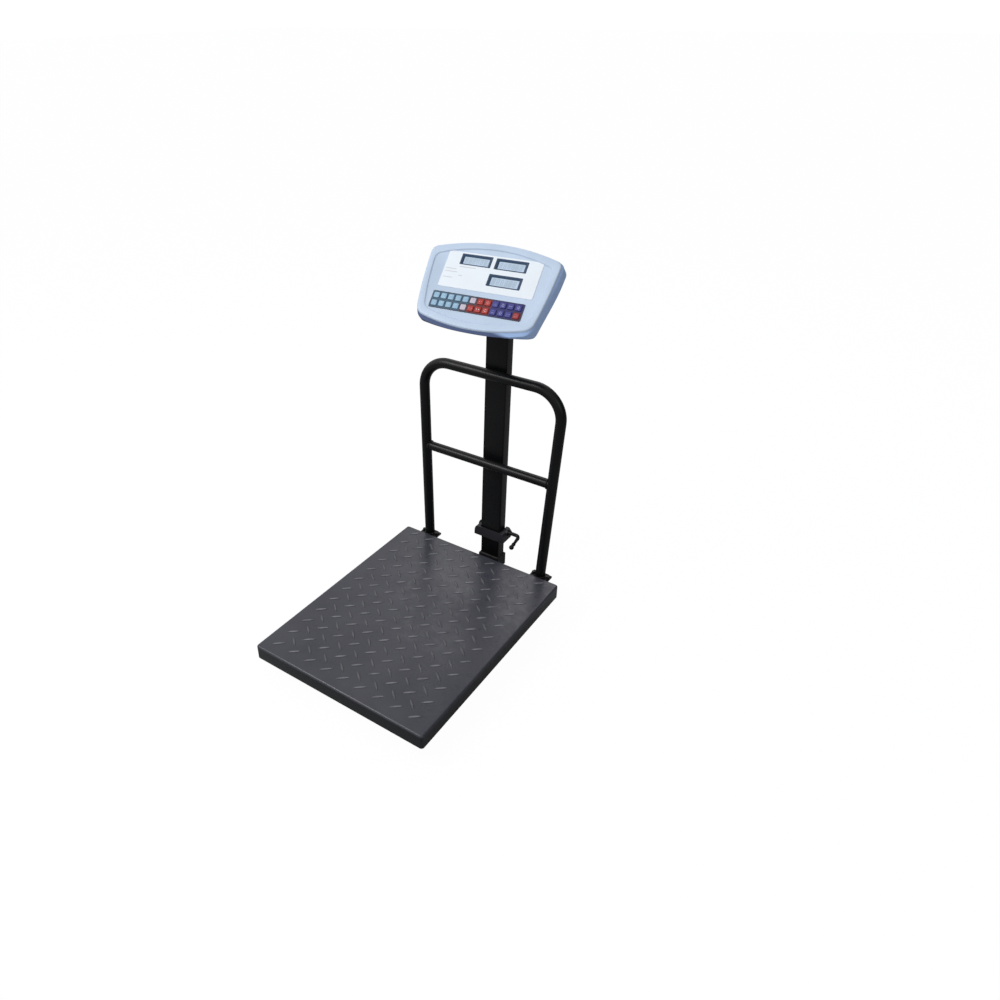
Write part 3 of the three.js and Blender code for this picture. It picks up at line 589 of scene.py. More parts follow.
def tread_lug(length, width, height):
    """Teardrop lug along X: lens-shaped plan, rounded crown, foot sunk in the plate."""
    shape = Shape()
    rings = []
    for i in range(11):
        along = -math.cos(math.pi * i / 10) * 0.985
        half = width / 2 * (1 - along ** 2) ** 0.8
        crown = height * (1 - abs(along) ** 3)
        x = along * length / 2
        rings.append([
            (x, -half, -0.3), (x, -half, 0), (x, -half * 0.72, crown * 0.72), (x, -half * 0.35, crown),
            (x, half * 0.35, crown), (x, half * 0.72, crown * 0.72), (x, half, 0), (x, half, -0.3),
        ])
    shape.loft(rings)
    return shape


def build_tread():
    low, high = box_mm("pan")
    pitch, slant, length, width, height = 41.0, 40.0, 28.0, 5.2, 1.2
    clear = 8.0  # from a lug's end to the pan's side
    middle = (low + high) / 2
    half_x, half_y = (high.x - low.x) / 2 - clear, (high.y - low.y) / 2 - clear
    start = Vector((-2.0, -15.0))  # one lug's place from the pan's middle
    shape = Shape()
    lug = tread_lug(length, width, height)
    reach = Vector((math.cos(math.radians(slant)), math.sin(math.radians(slant)))) * length / 2
    # Lugs of one direction take the first copy and the others the shaded copy: light and shade painted by
    # direction.
    for slot, (direction, offset) in enumerate(((1, 0.0), (-1, pitch / 2))):
        for column in range(-6, 7):
            for row in range(-7, 8):
                x = start.x + offset + column * pitch
                y = start.y + offset + row * pitch
                if abs(x) + reach.x > half_x or abs(y) + reach.y > half_y:
                    continue
                turn = Matrix.Rotation(math.radians(direction * slant), 4, "Z")
                shape.add(lug, Matrix.Translation((middle.x + x, middle.y + y, high.z)) @ turn, slot)
    materials = [M["tread"], M["tread_shaded"]]
    make_piece("tread_lugs", shape, materials, sharp=60, body="platform")


# ---------------- fasteners and feet
def build_cell_bolts():
    head_radius, head_height, shank_radius = 7.5, 5.0, 4.0
    for number in range(1, 5):
        node = f"cell_bolt_{number}"
        low, high = box_mm(node)
        centre = (low + high) / 2
        above = number > 2
        seat = high.z - head_height if above else low.z + head_height
        place = on_axis((centre.x, centre.y, seat), (0, 0, 1 if above else -1))
        shape = hex_head(head_radius, head_height - 0.3)
        shank = threaded_rod(shank_radius, high.z - low.z - head_height)
        shape.add(shank, Matrix.Rotation(math.pi, 4, "X"))
        make_piece(f"hex_bolt_{number}", shape, [M["zinc"]], node, place)


def build_rail_bolts():
    washer, head_height, shank_radius = 1.0, 3.0, 2.5
    for number in range(1, 5):
        node = f"rail_bolt_{number}"
        low, high = box_mm(node)
        centre = (low + high) / 2
        corner_radius = (high.x - low.x) / 2
        seat = high.z - head_height - 0.5
        rim = corner_radius + 0.3
        shape = lathe([
            (shank_radius, 0), (rim - 0.2, 0), (rim, 0.2), (rim, washer - 0.2), (rim - 0.2, washer),
            (shank_radius, washer),
        ])
        shape.add(hex_head(corner_radius, head_height), raised(washer))
        shape.add(threaded_rod(shank_radius, seat - low.z, 0.8), raised(low.z - seat))
        place = Matrix.Translation((centre.x, centre.y, seat))
        make_piece(f"rail_hex_bolt_{number}", shape, [M["gloss"]], node, place)


def build_feet():
    seat_in_frame, shoe = 20.2, 6.0
    lock_seat = box_mm("base_frame")[0].z + seat_in_frame
    for corner in ("front_left", "front_right", "rear_left", "rear_right"):
        node = f"foot_{corner}"
        low, high = box_mm(node)
        centre = (low + high) / 2
        radius = (high.x - low.x) / 2
        shape = lathe([
            (0.01, 0.6), (radius - 5, 0.6), (radius - 4.5, 0), (radius - 0.8, 0), (radius, 0.8),
            (radius, 3.2), (radius - 0.9, 4.3), (11, 5.4), (9.5, shoe), (0.01, shoe),
        ], 56)
        shape.add(hex_head(9.0, 5.8), raised(shoe), 1)
        shape.add(threaded_rod(5.0, high.z - 5.5, 1.5, 28), raised(shoe - 1.0), 1)
        place = Matrix.Translation((centre.x, centre.y, low.z))
        make_piece(f"levelling_pad_{corner}", shape, [M["rubber"], M["zinc"]], node, place)
        place = Matrix.Translation((centre.x, centre.y, lock_seat))
        lock_nut = hex_head(8.5, 4.0)
        make_piece(f"foot_lock_nut_{corner}", lock_nut, [M["zinc"]], None, place, body="base")


# ---------------- guard rail
def rail_places():
    """Foot centre of the right leg, top corner of the bent tube, and the tube's radius."""
    foot = (middle_mm("rail_bolt_3") + middle_mm("rail_bolt_4")) / 2
    high = box_mm("guard_rail")[1]
    tube, splay, plate_top = 11.0, 18.0, 63.0
    start = Vector((foot.x, foot.y, plate_top))
    corner = Vector((foot.x + splay, high.y - tube, high.z - tube))
    return start, corner, tube


def build_guard_rail():
    start, corner, tube = rail_places()
    bend, bar, crossbar_height = 60.0, 10.0, 294.0
    mirror = Vector((-1, 1, 1))
    foot = start - Vector((0, 0, 2.8))  # the tube ends inside its foot plate
    path = bend_path([foot * mirror, corner * mirror, corner, foot], bend, 18)
    shape = sweep(path, [tube] * len(path), 32)
    joint = start.lerp(corner, (crossbar_height - start.z) / (corner.z - start.z))
    shape.add(sweep([joint * mirror, joint], [bar, bar]))
    for side in (-1, 1):
        at = Vector((side * joint.x, joint.y, joint.z))
        shape.add(weld_bead(at - Vector((side * (tube - 0.4), 0, 0)), (1, 0, 0), bar + 0.2))
        foot = Vector((side * start.x, start.y, start.z))
        shape.add(weld_bead(foot + Vector((0, 0, 0.6)), (0, 0, 1), tube + 0.3))
        shape.add(foot_plate(foot))
    make_piece("guard_rail_tube", shape, [M["gloss"]], "guard_rail")


def foot_plate(foot):
    """Rail foot: a plate with round corners and broken edges, its top at the foot's height."""
    half_x, half_y, thickness, corner, chamfer = 21.0, 13.0, 3.0, 8.0, 0.6
    low = Vector((foot.x - half_x, foot.y - half_y, foot.z - thickness))
    high = Vector((foot.x + half_x, foot.y + half_y, foot.z))
    shape = Shape()
    shape.loft([
        rounded_ring(low, high, corner, chamfer, low.z),
        rounded_ring(low, high, corner, 0, low.z + chamfer),
        rounded_ring(low, high, corner, 0, high.z - chamfer),
        rounded_ring(low, high, corner, chamfer, high.z),
    ])
    return shape


# ---------------- column
def build_column():
    low, high = box_mm("column_tube")
    pivot = joint_mm("column_fold")
    wall, corner, heel = 2.0, 3.0, pivot.z - low.z

    def ring(level, inset):
        """Section of the column, whose rear edge is turned about the fold's pivot near its foot."""
        drop = max(0.0, pivot.z - level)
        rear = min(high.y, pivot.y + math.sqrt(max(0.0, heel ** 2 - drop ** 2)))
        outline = rounded_rectangle(
            low.x + inset, low.y + inset, high.x - inset, rear - inset, corner - inset * 0.9,
        )
        return [(x, y, level) for x, y in outline]

    levels = [pivot.z - heel * math.cos(math.radians(8 * i)) for i in range(9)] + [high.z - 0.4, high.z]
    outer = [ring(level, 0.4 if level == high.z else 0) for level in levels]
    inner = [ring(level, wall) for level in reversed(levels)]
    tube = Shape().wrap(outer + inner)
    make_piece("column", tube, [M["gloss"]], "column_tube")
    build_post(wall, corner)


def build_post(wall, corner):
    """Fixed stub of the column, and the weld bead round it at the top of its socket."""
    low, high = box_mm("column_post")
    inner_corner, socket_top, sunk = 1.2, 44.0, 0.4
    outer = [rounded_ring(low, high, corner, 0, level) for level in (low.z, high.z)]
    inner = [rounded_ring(low, high, inner_corner + wall, wall, level) for level in (high.z, low.z)]
    tube = Shape().wrap(outer + inner)
    make_piece("post", tube, [M["gloss"]], "column_post")
    bead = Shape()
    bead.loft([
        rounded_ring(low, high, corner - sunk, -sunk - out, socket_top + up)
        for up, out in ((-0.2, 2.2), (1.2, 1.6), (2.2, 0.5), (2.4, -0.3))
    ])
    make_piece("post_weld", bead, [M["frame"]], body="base")


def build_lever():
    """L-shaped clamp lever with a shoulder washer, a bent elbow and a round knob."""
    pivot = joint_mm("clamp_lever_turn")
    low, high = box_mm("clamp_lever")
    bracket = box_mm("hinge_bracket")[1]
    screw, arm, ball, knob_inwards, bend = 4.2, 4.0, 5.5, 4.0, 6.0
    elbow = Vector((high.x - ball + 1.3, pivot.y, pivot.z))
    knob = Vector((elbow.x - knob_inwards, low.y + ball, low.z + ball))
    path = bend_path([(low.x, pivot.y, pivot.z), elbow, knob], bend, 12)[:-1]
    arm_way = (knob - path[-1]).normalized()
    radii = [screw] * 2 + [arm] * (len(path) - 2)
    for before_knob, radius in ((-14.0, arm - 0.8), (-11.0, arm - 0.4), (-8.5, ball - 0.9)):
        path.append(knob + arm_way * before_knob)
        radii.append(radius)
    for turn in range(140, -1, -14):
        angle = math.radians(turn)
        path.append(knob + arm_way * ball * math.cos(angle))
        radii.append(max(0.05, ball * math.sin(angle)))
    shape = sweep(path, radii)
    washer = lathe([
        (3.9, 0), (7.6, 0), (8.0, 0.4), (8.0, 1.6), (7.6, 2.0), (6.2, 2.1), (6.0, 4.6), (3.9, 5.0),
    ])
    shape.add(washer, on_axis((bracket.x + 0.2, pivot.y, pivot.z), (1, 0, 0)))
    make_piece("clamp_handle", shape, [M["gloss"]], "clamp_lever")

    low, high = box_mm("clamp_nut")
    nut = hex_head(7.5, high.x - low.x)
    place = on_axis((high.x, pivot.y, pivot.z), (-1, 0, 0))
    make_piece("clamp_hex_nut", nut, [M["gloss"]], "clamp_nut", place)


def build_tilt_bolt():
    low, high = box_in("tilt_bolt", HEAD)
    half = (high.x - low.x) / 2
    head_radius, head_height, shank_radius = 7.5, 5.0, 4.0
    shape = lathe([(shank_radius, -half + 1), (shank_radius, half - 1)], 28)
    for side in (-1, 1):
        place = on_axis((0, 0, side * (half - head_height)), (0, 0, side))
        shape.add(hex_head(head_radius, head_height), place)
    place = on_axis(joint_mm("head_tilt"), HEAD.to_3x3() @ Vector((1, 0, 0)))
    make_piece("tilt_hex_bolt", shape, [M["zinc"]], "tilt_bolt", place)


# ---------------- indicator head, in its own axes
def head_outline(inset):
    """Barrel-shaped outline of the head in X and Z, its control points moved inwards by inset."""
    half, crest, sole = SHELL_HIGH.x - inset, SHELL_HIGH.z - inset, SHELL_LOW.z + inset
    top_x, top_z = half - 12.5, crest - 17.0
    shoulder_z = crest - 33.5
    waist_x, waist_z = half - 12.5, sole + 32.5
    low_x, low_z = half - 29.5, sole + 13.5
    right = [
        ((0, crest), (top_x / 2, crest), (top_x, top_z), 18),
        ((top_x, top_z), (half + 1, top_z - 3), (half, shoulder_z), 9),
        ((half, shoulder_z), (half - 2, 0), (waist_x, waist_z), 16),
        ((waist_x, waist_z), (waist_x - 3, low_z + 4), (low_x, low_z), 8),
        ((low_x, low_z), (low_x / 2, sole), (0, sole), 18),
    ]
    points = []
    for start, control, end, steps in right:
        points += quadratic(start, control, end, steps)
    points.append((0, sole))
    return points + [(-x, z) for x, z in reversed(points[1:-1])]


STRAIGHT_FOOT = 9.0  # depth at which the head's underside starts to slope back
LIP_RISE = 5.0  # the face's lower edge lies this much above the body's
BELLY = 1.5  # the body reaches this much below the CAD outline
FLARE = 3.0  # the body is this much wider than the face at the shoulders


def ease(value, start, end):
    """Smooth step from 0 at start to 1 at end."""
    share = min(1.0, max(0.0, (value - start) / (end - start)))
    return share * share * (3 - 2 * share)


def above_wedge(z, depth, lift=0.0, blend=7.0):
    """Keeps a point above the 45 degree underside, with a rounded change between the two."""
    floor = SHELL_LOW.z - BELLY + depth - STRAIGHT_FOOT + lift * math.sqrt(2)
    near = max(0.0, blend - abs(z - floor)) / blend
    return max(z, floor) + near * near * blend / 4


def head_ring(inset, depth, lift=0.0):
    """Section of the head at a depth: its face is smaller at the sole and at the shoulders than its body."""
    body = ease(depth, 2.0, STRAIGHT_FOOT)
    ring = []
    for x, z in head_outline(inset):
        low = ease(-z, 45.0, 75.0)
        z += low * (LIP_RISE * (1 - body) - BELLY * body)
        x += math.copysign(FLARE * body * ease(z, -45.0, 40.0), x) if abs(x) > 60 else 0.0
        ring.append((x, depth, above_wedge(z, depth, lift) if depth > 5.0 else z))
    return ring


WINDOWS = ("weight", "unit_price", "total_price")


def window_boxes(grow=0.0):
    """The three display openings as x0, z0, x1, z1."""
    carrier = 3.0  # the display's carrier is wider than its glass by this much all round
    return [grown(face_box(*box_in(f"lcd_{name}", HEAD)), grow - carrier) for name in WINDOWS]


def grown(box, amount):
    """A box of x0, z0, x1, z1 with each of its sides moved outwards."""
    x0, z0, x1, z1 = box
    return x0 - amount, z0 - amount, x1 + amount, z1 + amount


def face_box(low, high):
    return low.x, low.z, high.x, high.z


def rectangle(box, radius=0.8, steps=3):
    return rounded_rectangle(*box, radius, steps)


def upright(outline, depth):
    """An outline in the head's X and Z, set at a depth into the head."""
    return [(x, depth, z) for x, z in outline]


def slab(outline, front, back):
    """Solid between two depths into the head."""
    shape = Shape()
    shape.loft([upright(outline, front), upright(outline, back)])
    return shape


def plate_with_holes(outline, holes, front, back, edge=0.0, slot=0):
    """Flat sheet in the head's axes with holes through it; edge rounds the outer front edge."""
    shape = Shape()
    front_ring = shape.ring(upright(shrink(outline, edge), front))
    side_ring = shape.ring(upright(outline, front + edge))
    back_ring = shape.ring(upright(outline, back))
    shape.skin(front_ring, side_ring, slot)
    shape.skin(side_ring, back_ring, slot)
    shape.pierce(front_ring, back_ring, holes, front, back, slot)
    return shape


def shrink(outline, inset):
    """Moves each point of a convex outline inwards along its own normal."""
    moved = []
    count = len(outline)
    for i in range(count):
        before, after = outline[i - 1], outline[(i + 1) % count]
        normal = Vector((-(after[1] - before[1]), after[0] - before[0])).normalized()
        moved.append((outline[i][0] + normal.x * inset, outline[i][1] + normal.y * inset))
    return moved


FIELD = 2.0  # depth of the sunk field that holds the panel and the keypad
PROUD = 0.7  # how far the printed sheets stand above the field


def build_front_shell():
    depth, wall, edge, rim_width, step = SHELL_HIGH.y, 2.5, 3.0, 12.0, 2.4
    shape = Shape()
    rings = [head_ring(0, level) for level in (depth, 25.0, 20.0, 15.0, 12.0, 10.0, 8.0, 6.0, 4.5)]
    side_rings = len(rings)
    rings += [head_ring(inset, y) for inset, y in arc((edge, edge), edge, 180, 270, 8)]
    for i in range(7):
        share = i / 6
        rings.append(head_ring(rim_width + step * share, FIELD * (3 - 2 * share) * share ** 2))
    outside = [shape.ring(points) for points in rings]
    # The side rings take the side material, whose colours paint the shade on the head's sides and sole.
    for i, (first, second) in enumerate(zip(outside, outside[1:])):
        shape.skin(first, second, 1 if i < side_rings else 0)
    inner_face = FIELD + wall
    inside = shape.loft([head_ring(wall, y, wall) for y in (depth, depth * 0.5, inner_face)], ends=False)
    shape.skin(outside[0], inside[0])
    keypad_margin = 2.0
    holes = [rectangle(box) for box in window_boxes(0.2)]
    holes.append(rectangle(grown(face_box(*box_in("keypad_panel", HEAD)), -keypad_margin)))
    shape.pierce(outside[-1], inside[-1], holes, FIELD, inner_face)
    make_piece("front_shell", shape, [M["shell"], M["shell_side_painted_shade"]], "front_housing", HEAD, 30)


def build_rear_shell():
    """Rear shell: its sides slope in towards the back, so the front shell hides them from the front."""
    seam = box_in("rear_housing", HEAD)[0].y
    behind_board, wall, step, slope, edge = 33.5, 2.5, 1.5, 12.0, 7.0
    back = box_in("main_board", HEAD)[1].y + behind_board

    def inset(depth):
        return step + slope * (depth - seam) / (back - seam)

    shape = Shape()
    levels = [seam + (back - edge - seam) * i / 5 for i in range(6)]
    rings = [head_ring(inset(y), y) for y in levels]
    rings += [
        head_ring(inset(y) + sideways, y) for sideways, y in arc((edge, back - edge), edge, 180, 90, 8)[1:]
    ]
    outside = shape.loft(rings, ends=False)
    shape.cap(outside[-1])
    inside = shape.loft([
        head_ring(inset(seam) + wall, seam, wall), head_ring(inset(back - edge) + wall, back - edge, wall),
        head_ring(inset(back) + edge, back - wall, wall),
    ], ends=False)
    shape.cap(inside[-1])
    shape.skin(outside[0], inside[0])
    make_piece("rear_shell", shape, [M["rear_shell"]], "rear_housing", HEAD, 30)
    build_head_lugs(back)
    build_head_screws(back)


def build_head_lugs(back):
    """Two ears on the rear shell that carry the tilt bolt."""
    pivot = HEAD.inverted() @ joint_mm("head_tilt")
    inner, outer, radius, root = 15.4, 21.6, 10.0, 16.0
    outline = [(back - 1, pivot.z + root), (back - 1, pivot.z - root), (back + 2.5, pivot.z - root + 1.5)]
    outline += arc((pivot.y, pivot.z), radius, -80, 80, 20)
    outline += [(back + 2.5, pivot.z + root - 1.5)]
    shape = Shape()
    for side in (-1, 1):
        shape.loft([[(side * x, y, z) for y, z in outline] for x in (inner, outer)])
    ears = make_piece("head_lugs", shape, [M["rear_shell"]], None, HEAD, body="head")
    round_edges(ears, 0.8)


def build_head_screws(back):
    """Four sunk pan-head screws that hold the shells together."""
    slot = Shape()
    outline = rectangle((-2.1, -0.35, 2.1, 0.35), 0.2, 2)
    slot.loft([[(x, y, level) for x, y in outline] for level in (-2.0, -1.2)])
    materials = [M["rear_shell"], M["zinc"], M["dark_steel"]]
    for number, (x, z) in enumerate(((-80, 42), (80, 42), (-70, -22), (70, -22)), 1):
        shape = lathe([(5.6, 0.4), (5.6, -0.5), (5.0, -0.9), (4.2, -0.9), (4.0, 0.2)], 36)
        head = [(0.01, 0.4), (3.7, 0.4), (3.7, -0.6), (3.0, -1.5), (1.4, -1.9), (0.01, -1.95)]
        shape.add(lathe(head, 36), slot=1)
        for turn in (0, 90):
            shape.add(slot, Matrix.Rotation(math.radians(turn), 4, "Z"), 2)
        place = HEAD @ on_axis((x, back, z), (0, -1, 0))
        make_piece(f"head_screw_{number}", shape, materials, None, place, body="head")


def build_display_panel():
    """White sheet with a dark border of painted shade round each opening and rows of plain pale bars."""
    low, high = box_in("display_panel", HEAD)
    front = FIELD - PROUD
    outline = rounded_rectangle(low.x, low.z, high.x, high.z, 3.5)
    openings = window_boxes(0.15)
    shape = plate_with_holes(outline, [rectangle(box) for box in openings], front, FIELD + 0.2, 0.2)
    # Dark borders round the openings: painted shade from the window recesses, widest where the shade falls.
    painted_shade_borders = ((1.0, 0.7, 1.6, 1.0), (1.4, 0.7, 1.2, 1.0), (1.2, 0.8, 1.2, 1.2))  # left, below, right, above
    for opening, (left, below, right, above) in zip(openings, painted_shade_borders):
        x0, z0, x1, z1 = opening
        outer = rectangle((x0 - left, z0 - below, x1 + right, z1 + above), 1.2)
        shape.add(plate_with_holes(outer, [rectangle(opening)], front - 0.12, front + 0.05, 0.05, 1))
    bars = ((30, 34), (4, 22), (4, 26), (34, 8), (4, 20))  # from the sheet's left side, and length
    row_height, thickness = 6.0, 1.5
    for row, (start, length) in enumerate(bars, 1):
        x, z = low.x + start, openings[0][1] - row * row_height
        bar = rectangle((x, z, x + length, z + thickness), 0.5)
        shape.add(plate_with_holes(bar, [], front - 0.08, front + 0.05), slot=2)
    materials = [M["panel"], M["bezel"], M["print"]]
    make_piece("display_sheet", shape, materials, "display_panel", HEAD)


def digit_segments(x, z, width, height):
    """The seven bars of one display digit as outlines; x and z are its lower left corner."""
    bar, lean = height * 0.1, 0.09
    gap = 0.1  # left at both ends of a bar, as a share of its width
    half = (height - bar) / 2

    def pointed_bar(start, end):
        along = (end - start).normalized() * bar
        side = Vector((along.y, -along.x)) / 2
        tip, shoulder = along * gap, along * (gap + 0.5)
        points = [
            start + tip, start + shoulder + side, end - shoulder + side,
            end - tip, end - shoulder - side, start + shoulder - side,
        ]
        return [(px + (pz - z) * lean, pz) for px, pz in points]

    left, right = x + bar / 2, x + width - bar / 2
    levels = [z + bar / 2 + half * i for i in range(3)]
    bars = [pointed_bar(Vector((left, level)), Vector((right, level))) for level in levels]
    for at in (left, right):
        for low, high in zip(levels, levels[1:]):
            bars.append(pointed_bar(Vector((at, low)), Vector((at, high))))
    return bars


def build_windows():
    """Each display: a sloping bezel in dark painted shade, the glass behind it and faint unlit digits."""
    front, face, lip = FIELD - PROUD - 0.25, 3.2, 0.9
    side, top, bottom = 4.6, 3.6, 2.2
    for name, box in zip(WINDOWS, window_boxes()):
        x0, z0, x1, z1 = box
        inner = (x0 + side, z0 + bottom, x1 - side, z1 - top)
        bezel = Shape().wrap([
            upright(rectangle(box), front), upright(rectangle(grown(box, -lip)), front),
            upright(rectangle(inner), face), upright(rectangle(inner), face + 1.0),
            upright(rectangle(box), face + 1.0),
        ])
        make_piece(f"bezel_{name}", bezel, [M["bezel"]], None, HEAD, 25, "head")
        glass = slab(rectangle(grown(inner, 0.4)), face + 0.3, face + 2.0)
        x0, z0, x1, z1 = inner
        pitch, height = (x1 - x0) / 6.6, (z1 - z0) * 0.72
        for place in range(6):
            left, foot = x0 + (place + 0.35) * pitch, (z0 + z1 - height) / 2
            for bar in digit_segments(left, foot, pitch * 0.62, height):
                glass.add(slab(bar, face + 0.22, face + 0.4), slot=1)
        make_piece(f"display_glass_{name}", glass, [M["lcd"], M["segment"]], f"lcd_{name}", HEAD)


def build_keypad():
    """Printed sheet with a coloured field round each key, and the keys standing through it."""
    low, high = box_in("keypad_panel", HEAD)
    first, right_of_it, below_it = (
        box_in(node, HEAD)[0] for node in ("key_top_01", "key_top_02", "key_bottom_01")
    )
    pitch_x, pitch_z = right_of_it.x - first.x, first.z - below_it.z
    flange, clear, border = 1.0, 0.3, 1.2
    front, back = FIELD - PROUD, FIELD + 0.3
    sheet = Shape()
    groups = list(KEY_GROUPS)
    for row, marks in KEY_MARKS.items():
        for number, mark in enumerate(marks, 1):
            node = f"key_{row}_{number:02d}"
            group = slot_of[node]
            key_low, key_high = box_in(node, HEAD)
            centre = (key_low + key_high) / 2
            x0 = low.x + border if number == 1 else centre.x - pitch_x / 2
            x1 = high.x - border if number == len(marks) else centre.x + pitch_x / 2
            z0 = low.z + border if row == "bottom" else centre.z - pitch_z / 2
            z1 = high.z - border if row == "top" else centre.z + pitch_z / 2
            key = grown(face_box(key_low, key_high), -flange)
            corners = [(x1, z1), (x0, z1), (x0, z0), (x1, z0)]
            field = plate_with_holes(corners, [rectangle(grown(key, clear), 1.8)], front, back)
            sheet.add(field, slot=groups.index(group))
            build_key(node, key, group, mark)
    sheet_box = face_box(low, high)
    window = rectangle(grown(sheet_box, -border), 0.3)
    edge = plate_with_holes(rectangle(sheet_box, 2.5, 6), [window], front, back, 0.15)
    sheet.add(edge, slot=len(groups))
    materials = [M[group + "_sheet"] for group in groups] + [M["sheet_edge"]]
    make_piece("keypad_sheet", sheet, materials, "keypad_panel", HEAD)


KEY_MARKS = {  # what the keys of a row carry, from the left: a numeral or a plain shape
    "top": ("1", "2", "3", "4", "5", "0", "bar", "cross", "arrow", "square", "bar", "disc"),
    "bottom": ("6", "7", "8", "9", None, "bar", "dots", "disc", "arrow", "cross", "bar", "arrow"),
}
MARK_OUTLINES = {
    "bar": [rectangle((-2.4, -0.6, 2.4, 0.6), 0.4, 2)],
    "cross": [rectangle((-2.4, -0.55, 2.4, 0.55), 0.3, 2), rectangle((-0.55, -2.4, 0.55, 2.4), 0.3, 2)],
    "dots": [arc((x, 0), 0.9, 0, 330, 11) for x in (-2.1, 0, 2.1)],
    "disc": [arc((0, 0), 2.2, 0, 345, 23)],
    "square": [rectangle((-2, -2, 2, 2), 0.5, 2)],
    "arrow": [[(-2.2, -1.7), (2.2, -1.7), (0, 2.3)]],
}


def numeral(text, size):
    """A numeral from the built-in font as a thin solid lying in X and Z, centred."""
    curve = bpy.data.curves.new("numeral", "FONT")
    curve.body = text
    curve.size = size
    curve.resolution_u = 3
    curve.extrude = 0.04
    curve.align_x = "CENTER"
    curve.align_y = "CENTER"
    holder = new_object("numeral", curve)
    bpy.context.view_layer.update()
    mesh = bpy.data.meshes.new_from_object(holder.evaluated_get(bpy.context.evaluated_depsgraph_get()))
    shape = Shape()
    shape.points = [Vector((v.co.x, -v.co.z, v.co.y)) for v in mesh.vertices]
    shape.faces = [tuple(p.vertices) for p in mesh.polygons]
    shape.slots = [0] * len(shape.faces)
    bpy.data.objects.remove(holder)
    bpy.data.curves.remove(curve)
    bpy.data.meshes.remove(mesh)
    return shape


def build_key(node, box, group, mark):
    """Soft key: filleted side, slightly domed top, and a printed mark."""
    low, high = box_in(node, HEAD)
    top, back, fillet, dome = low.y, high.y, 1.2, 0.25
    half_x = (box[2] - box[0]) / 2

    def ring(inset, depth):
        return upright(rectangle(grown(box, -inset), max(0.3, 1.9 - inset * 0.6), 5), depth)

    shoulder = top + dome + fillet
    rings = [ring(0, back), ring(0, shoulder)]
    rings += [ring(sideways, y) for sideways, y in arc((fillet, shoulder), fillet, 180, 270, 5)[1:]]
    for inset in (2.2, 3.4, 4.6):
        share = (inset - fillet) / (half_x - fillet)
        rings.append(ring(inset, top + dome * (1 - share) ** 1.5))
    shape = Shape()
    shape.loft(rings)
    level = top + dome * 0.5
    centre = (low + high) / 2
    place = Matrix.Translation((centre.x, level, centre.z))
    if mark in MARK_OUTLINES:
        for outline in MARK_OUTLINES[mark]:
            shape.add(slab(outline, -0.06, 0.1), place, 1)
    elif mark:
        shape.add(numeral(mark, 7.0), place, 1)
    legend = M["dark_legend"] if group == "key_light" else M["legend"]
    make_piece("keycap" + node.removeprefix("key"), shape, [M[group], legend], node, HEAD, 40)


# ---------------- CAD nodes that stay
def keep_node(node, material, edge=0.0, smooth=False):
    """Keeps a CAD node: merged corners, rounded edges or a smoothed skin, and a material."""
    piece = frame["nodes"][node]
    weld = piece.modifiers.new("merge", "WELD")
    weld.merge_threshold = 0.01 * MM
    if edge:
        flat = piece.modifiers.new("flatten", "DECIMATE")
        flat.decimate_type = "DISSOLVE"
        flat.angle_limit = math.radians(2)
        round_edges(piece, edge, 2)
    if smooth:
        fine = piece.modifiers.new("smooth", "SUBSURF")
        fine.levels = 2
        fine.render_levels = 2
    if not piece.material_slots:
        piece.data.materials.append(None)
    for slot in piece.material_slots:
        slot.link = "OBJECT"
        slot.material = material


def keep_nodes():
    kept = (
        ("base_frame", "frame", 0.6), ("upper_frame", "frame", 0.6), ("load_cell", "aluminium", 0.5),
        ("battery", "black_plastic", 1.0), ("battery_strap", "zinc", 0.3), ("hinge_bracket", "cast", 1.2),
        ("swivel_plug", "black_plastic", 0.5), ("swivel_bracket", "gloss", 0.7), ("main_board", "board", 0.2),
    )
    for node, material, edge in kept:
        keep_node(node, M[material], edge)
    keep_node("load_cell_cable", M["cable"], smooth=True)


# ---------------- floor, light and camera
def build_stage():
    """Pale seamless floor: near white to the camera with a soft shadow, dim in what the object reflects."""
    size, glow_strength, glow_share = 30.0, 1.08, 0.9
    mesh = bpy.data.meshes.new("floor")
    corners = [(-size, -size, 0), (size, -size, 0), (size, size, 0), (-size, size, 0)]
    mesh.from_pydata(corners, [], [(0, 1, 2, 3)])
    new_object("floor", mesh)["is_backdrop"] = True
    n = new_material("floor")
    n.finish((0.30, 0.30, 0.31), 0.9, 0.1)
    glow = n.add("Emission", {"Color": (1, 1, 1), "Strength": glow_strength})
    share = n.times(n.add("LightPath", output="Is Camera Ray"), glow_share)
    surface = n.add("MixShader", {"Fac": share, 1: n.shader.outputs[0], 2: glow})
    n.put(n.tree.nodes["Material Output"].inputs["Surface"], surface)
    mesh.materials.append(n.holder)


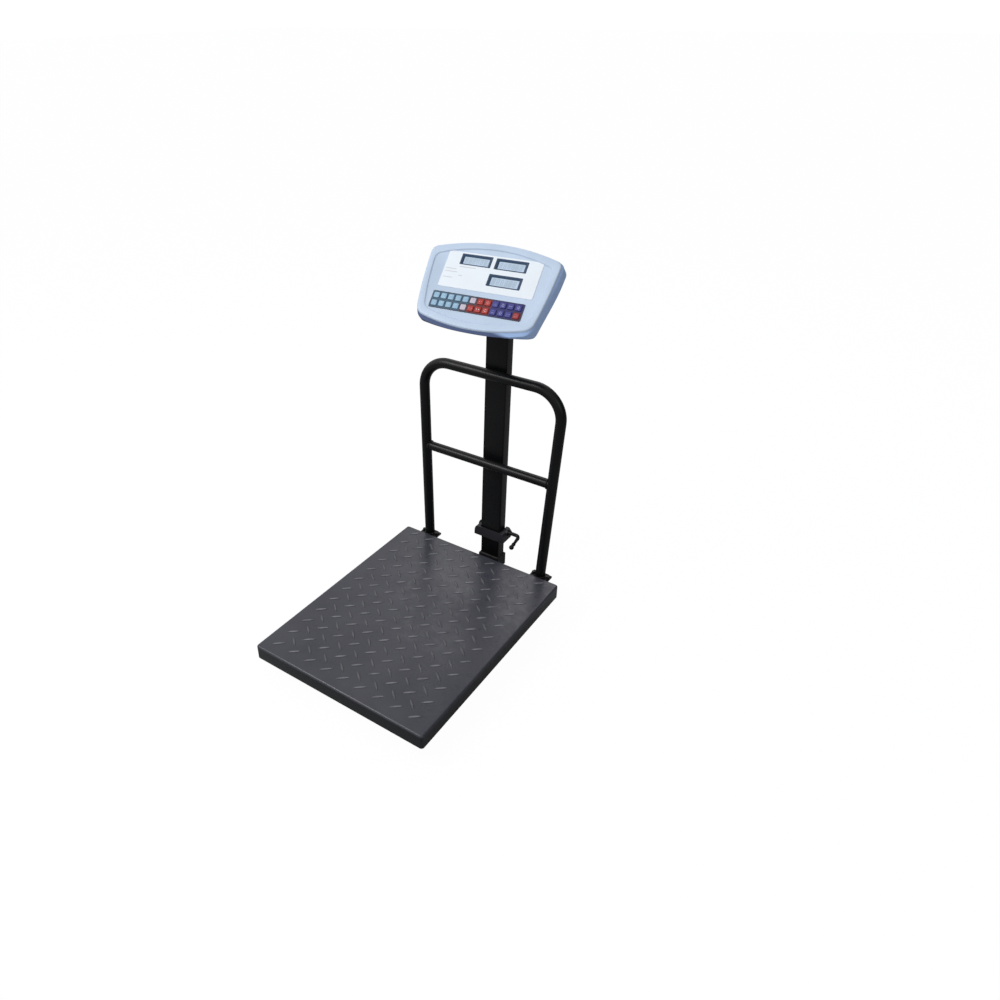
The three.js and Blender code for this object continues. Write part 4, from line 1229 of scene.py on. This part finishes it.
def build_world():
    """White to the camera; to the object a studio that is bright at the upper left and dark at the right."""
    bright_side = Vector((-0.62, -0.38, 0.68)).normalized()
    dimmest, brightest, to_camera = 0.10, 0.95, 1.05
    n = Nodes(bpy.data.worlds.new("studio"), "Generated")
    studio = n.spread(n.dot(n.place, bright_side), -0.4, 0.9, dimmest, brightest)
    strength = n.spread(n.add("LightPath", output="Is Camera Ray"), 0, 1, studio, to_camera)
    background = n.tree.nodes["Background"].inputs
    n.put(background["Strength"], strength)
    n.put(background["Color"], (1, 1, 1))
    bpy.context.scene.world = n.holder


def area_light(name, place, target, size, power):
    light = bpy.data.lights.new(name, "AREA")
    light.shape = "RECTANGLE"
    light.size, light.size_y = size
    light.energy = power
    holder = new_object(name, light)
    holder.location = place
    holder.rotation_mode = "QUATERNION"
    holder.rotation_quaternion = (Vector(target) - Vector(place)).to_track_quat("-Z", "Y")


def build_lights():
    low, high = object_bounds()
    middle = (low + high) / 2
    area_light("key", middle + Vector((-1.3, -1.4, 1.9)), middle, (1.3, 1.0), 29)
    area_light("fill", middle + Vector((1.9, -0.6, 0.9)), middle, (0.9, 1.4), 4)
    area_light("back", middle + Vector((-0.6, 1.9, 1.4)), middle, (1.6, 0.8), 6)


def build_camera():
    """Looks down on the platform from the front right, with a slight roll to the left."""
    azimuth, elevation, roll = math.radians(35.8), math.radians(31.6), math.radians(-0.89)
    camera = bpy.data.cameras.new("camera")
    camera.sensor_width = 36.0
    camera.lens = 28.66
    camera.shift_x, camera.shift_y = 0.072, -0.015
    camera.clip_start, camera.clip_end = 0.05, 100
    holder = new_object("camera", camera)
    holder.location = (0.757, -0.9935 + middle_mm("pan").y * MM, 1.0766 + PAN_TOP * MM)
    flat = math.cos(elevation)
    back = Vector((math.sin(azimuth) * flat, -math.cos(azimuth) * flat, math.sin(elevation)))
    holder.rotation_mode = "QUATERNION"
    level = (-back).to_track_quat("-Z", "Y").to_matrix()
    holder.rotation_quaternion = (level @ Matrix.Rotation(roll, 3, "Z")).to_quaternion()
    bpy.context.scene.camera = holder


# ---------------- all together
build_pan()
build_tread()
build_cell_bolts()
build_rail_bolts()
build_feet()
build_guard_rail()
build_column()
build_lever()
build_tilt_bolt()
build_front_shell()
build_rear_shell()
build_display_panel()
build_windows()
build_keypad()
keep_nodes()
build_stage()
build_world()
build_lights()
build_camera()
bpy.context.scene.view_settings.view_transform = "Standard"
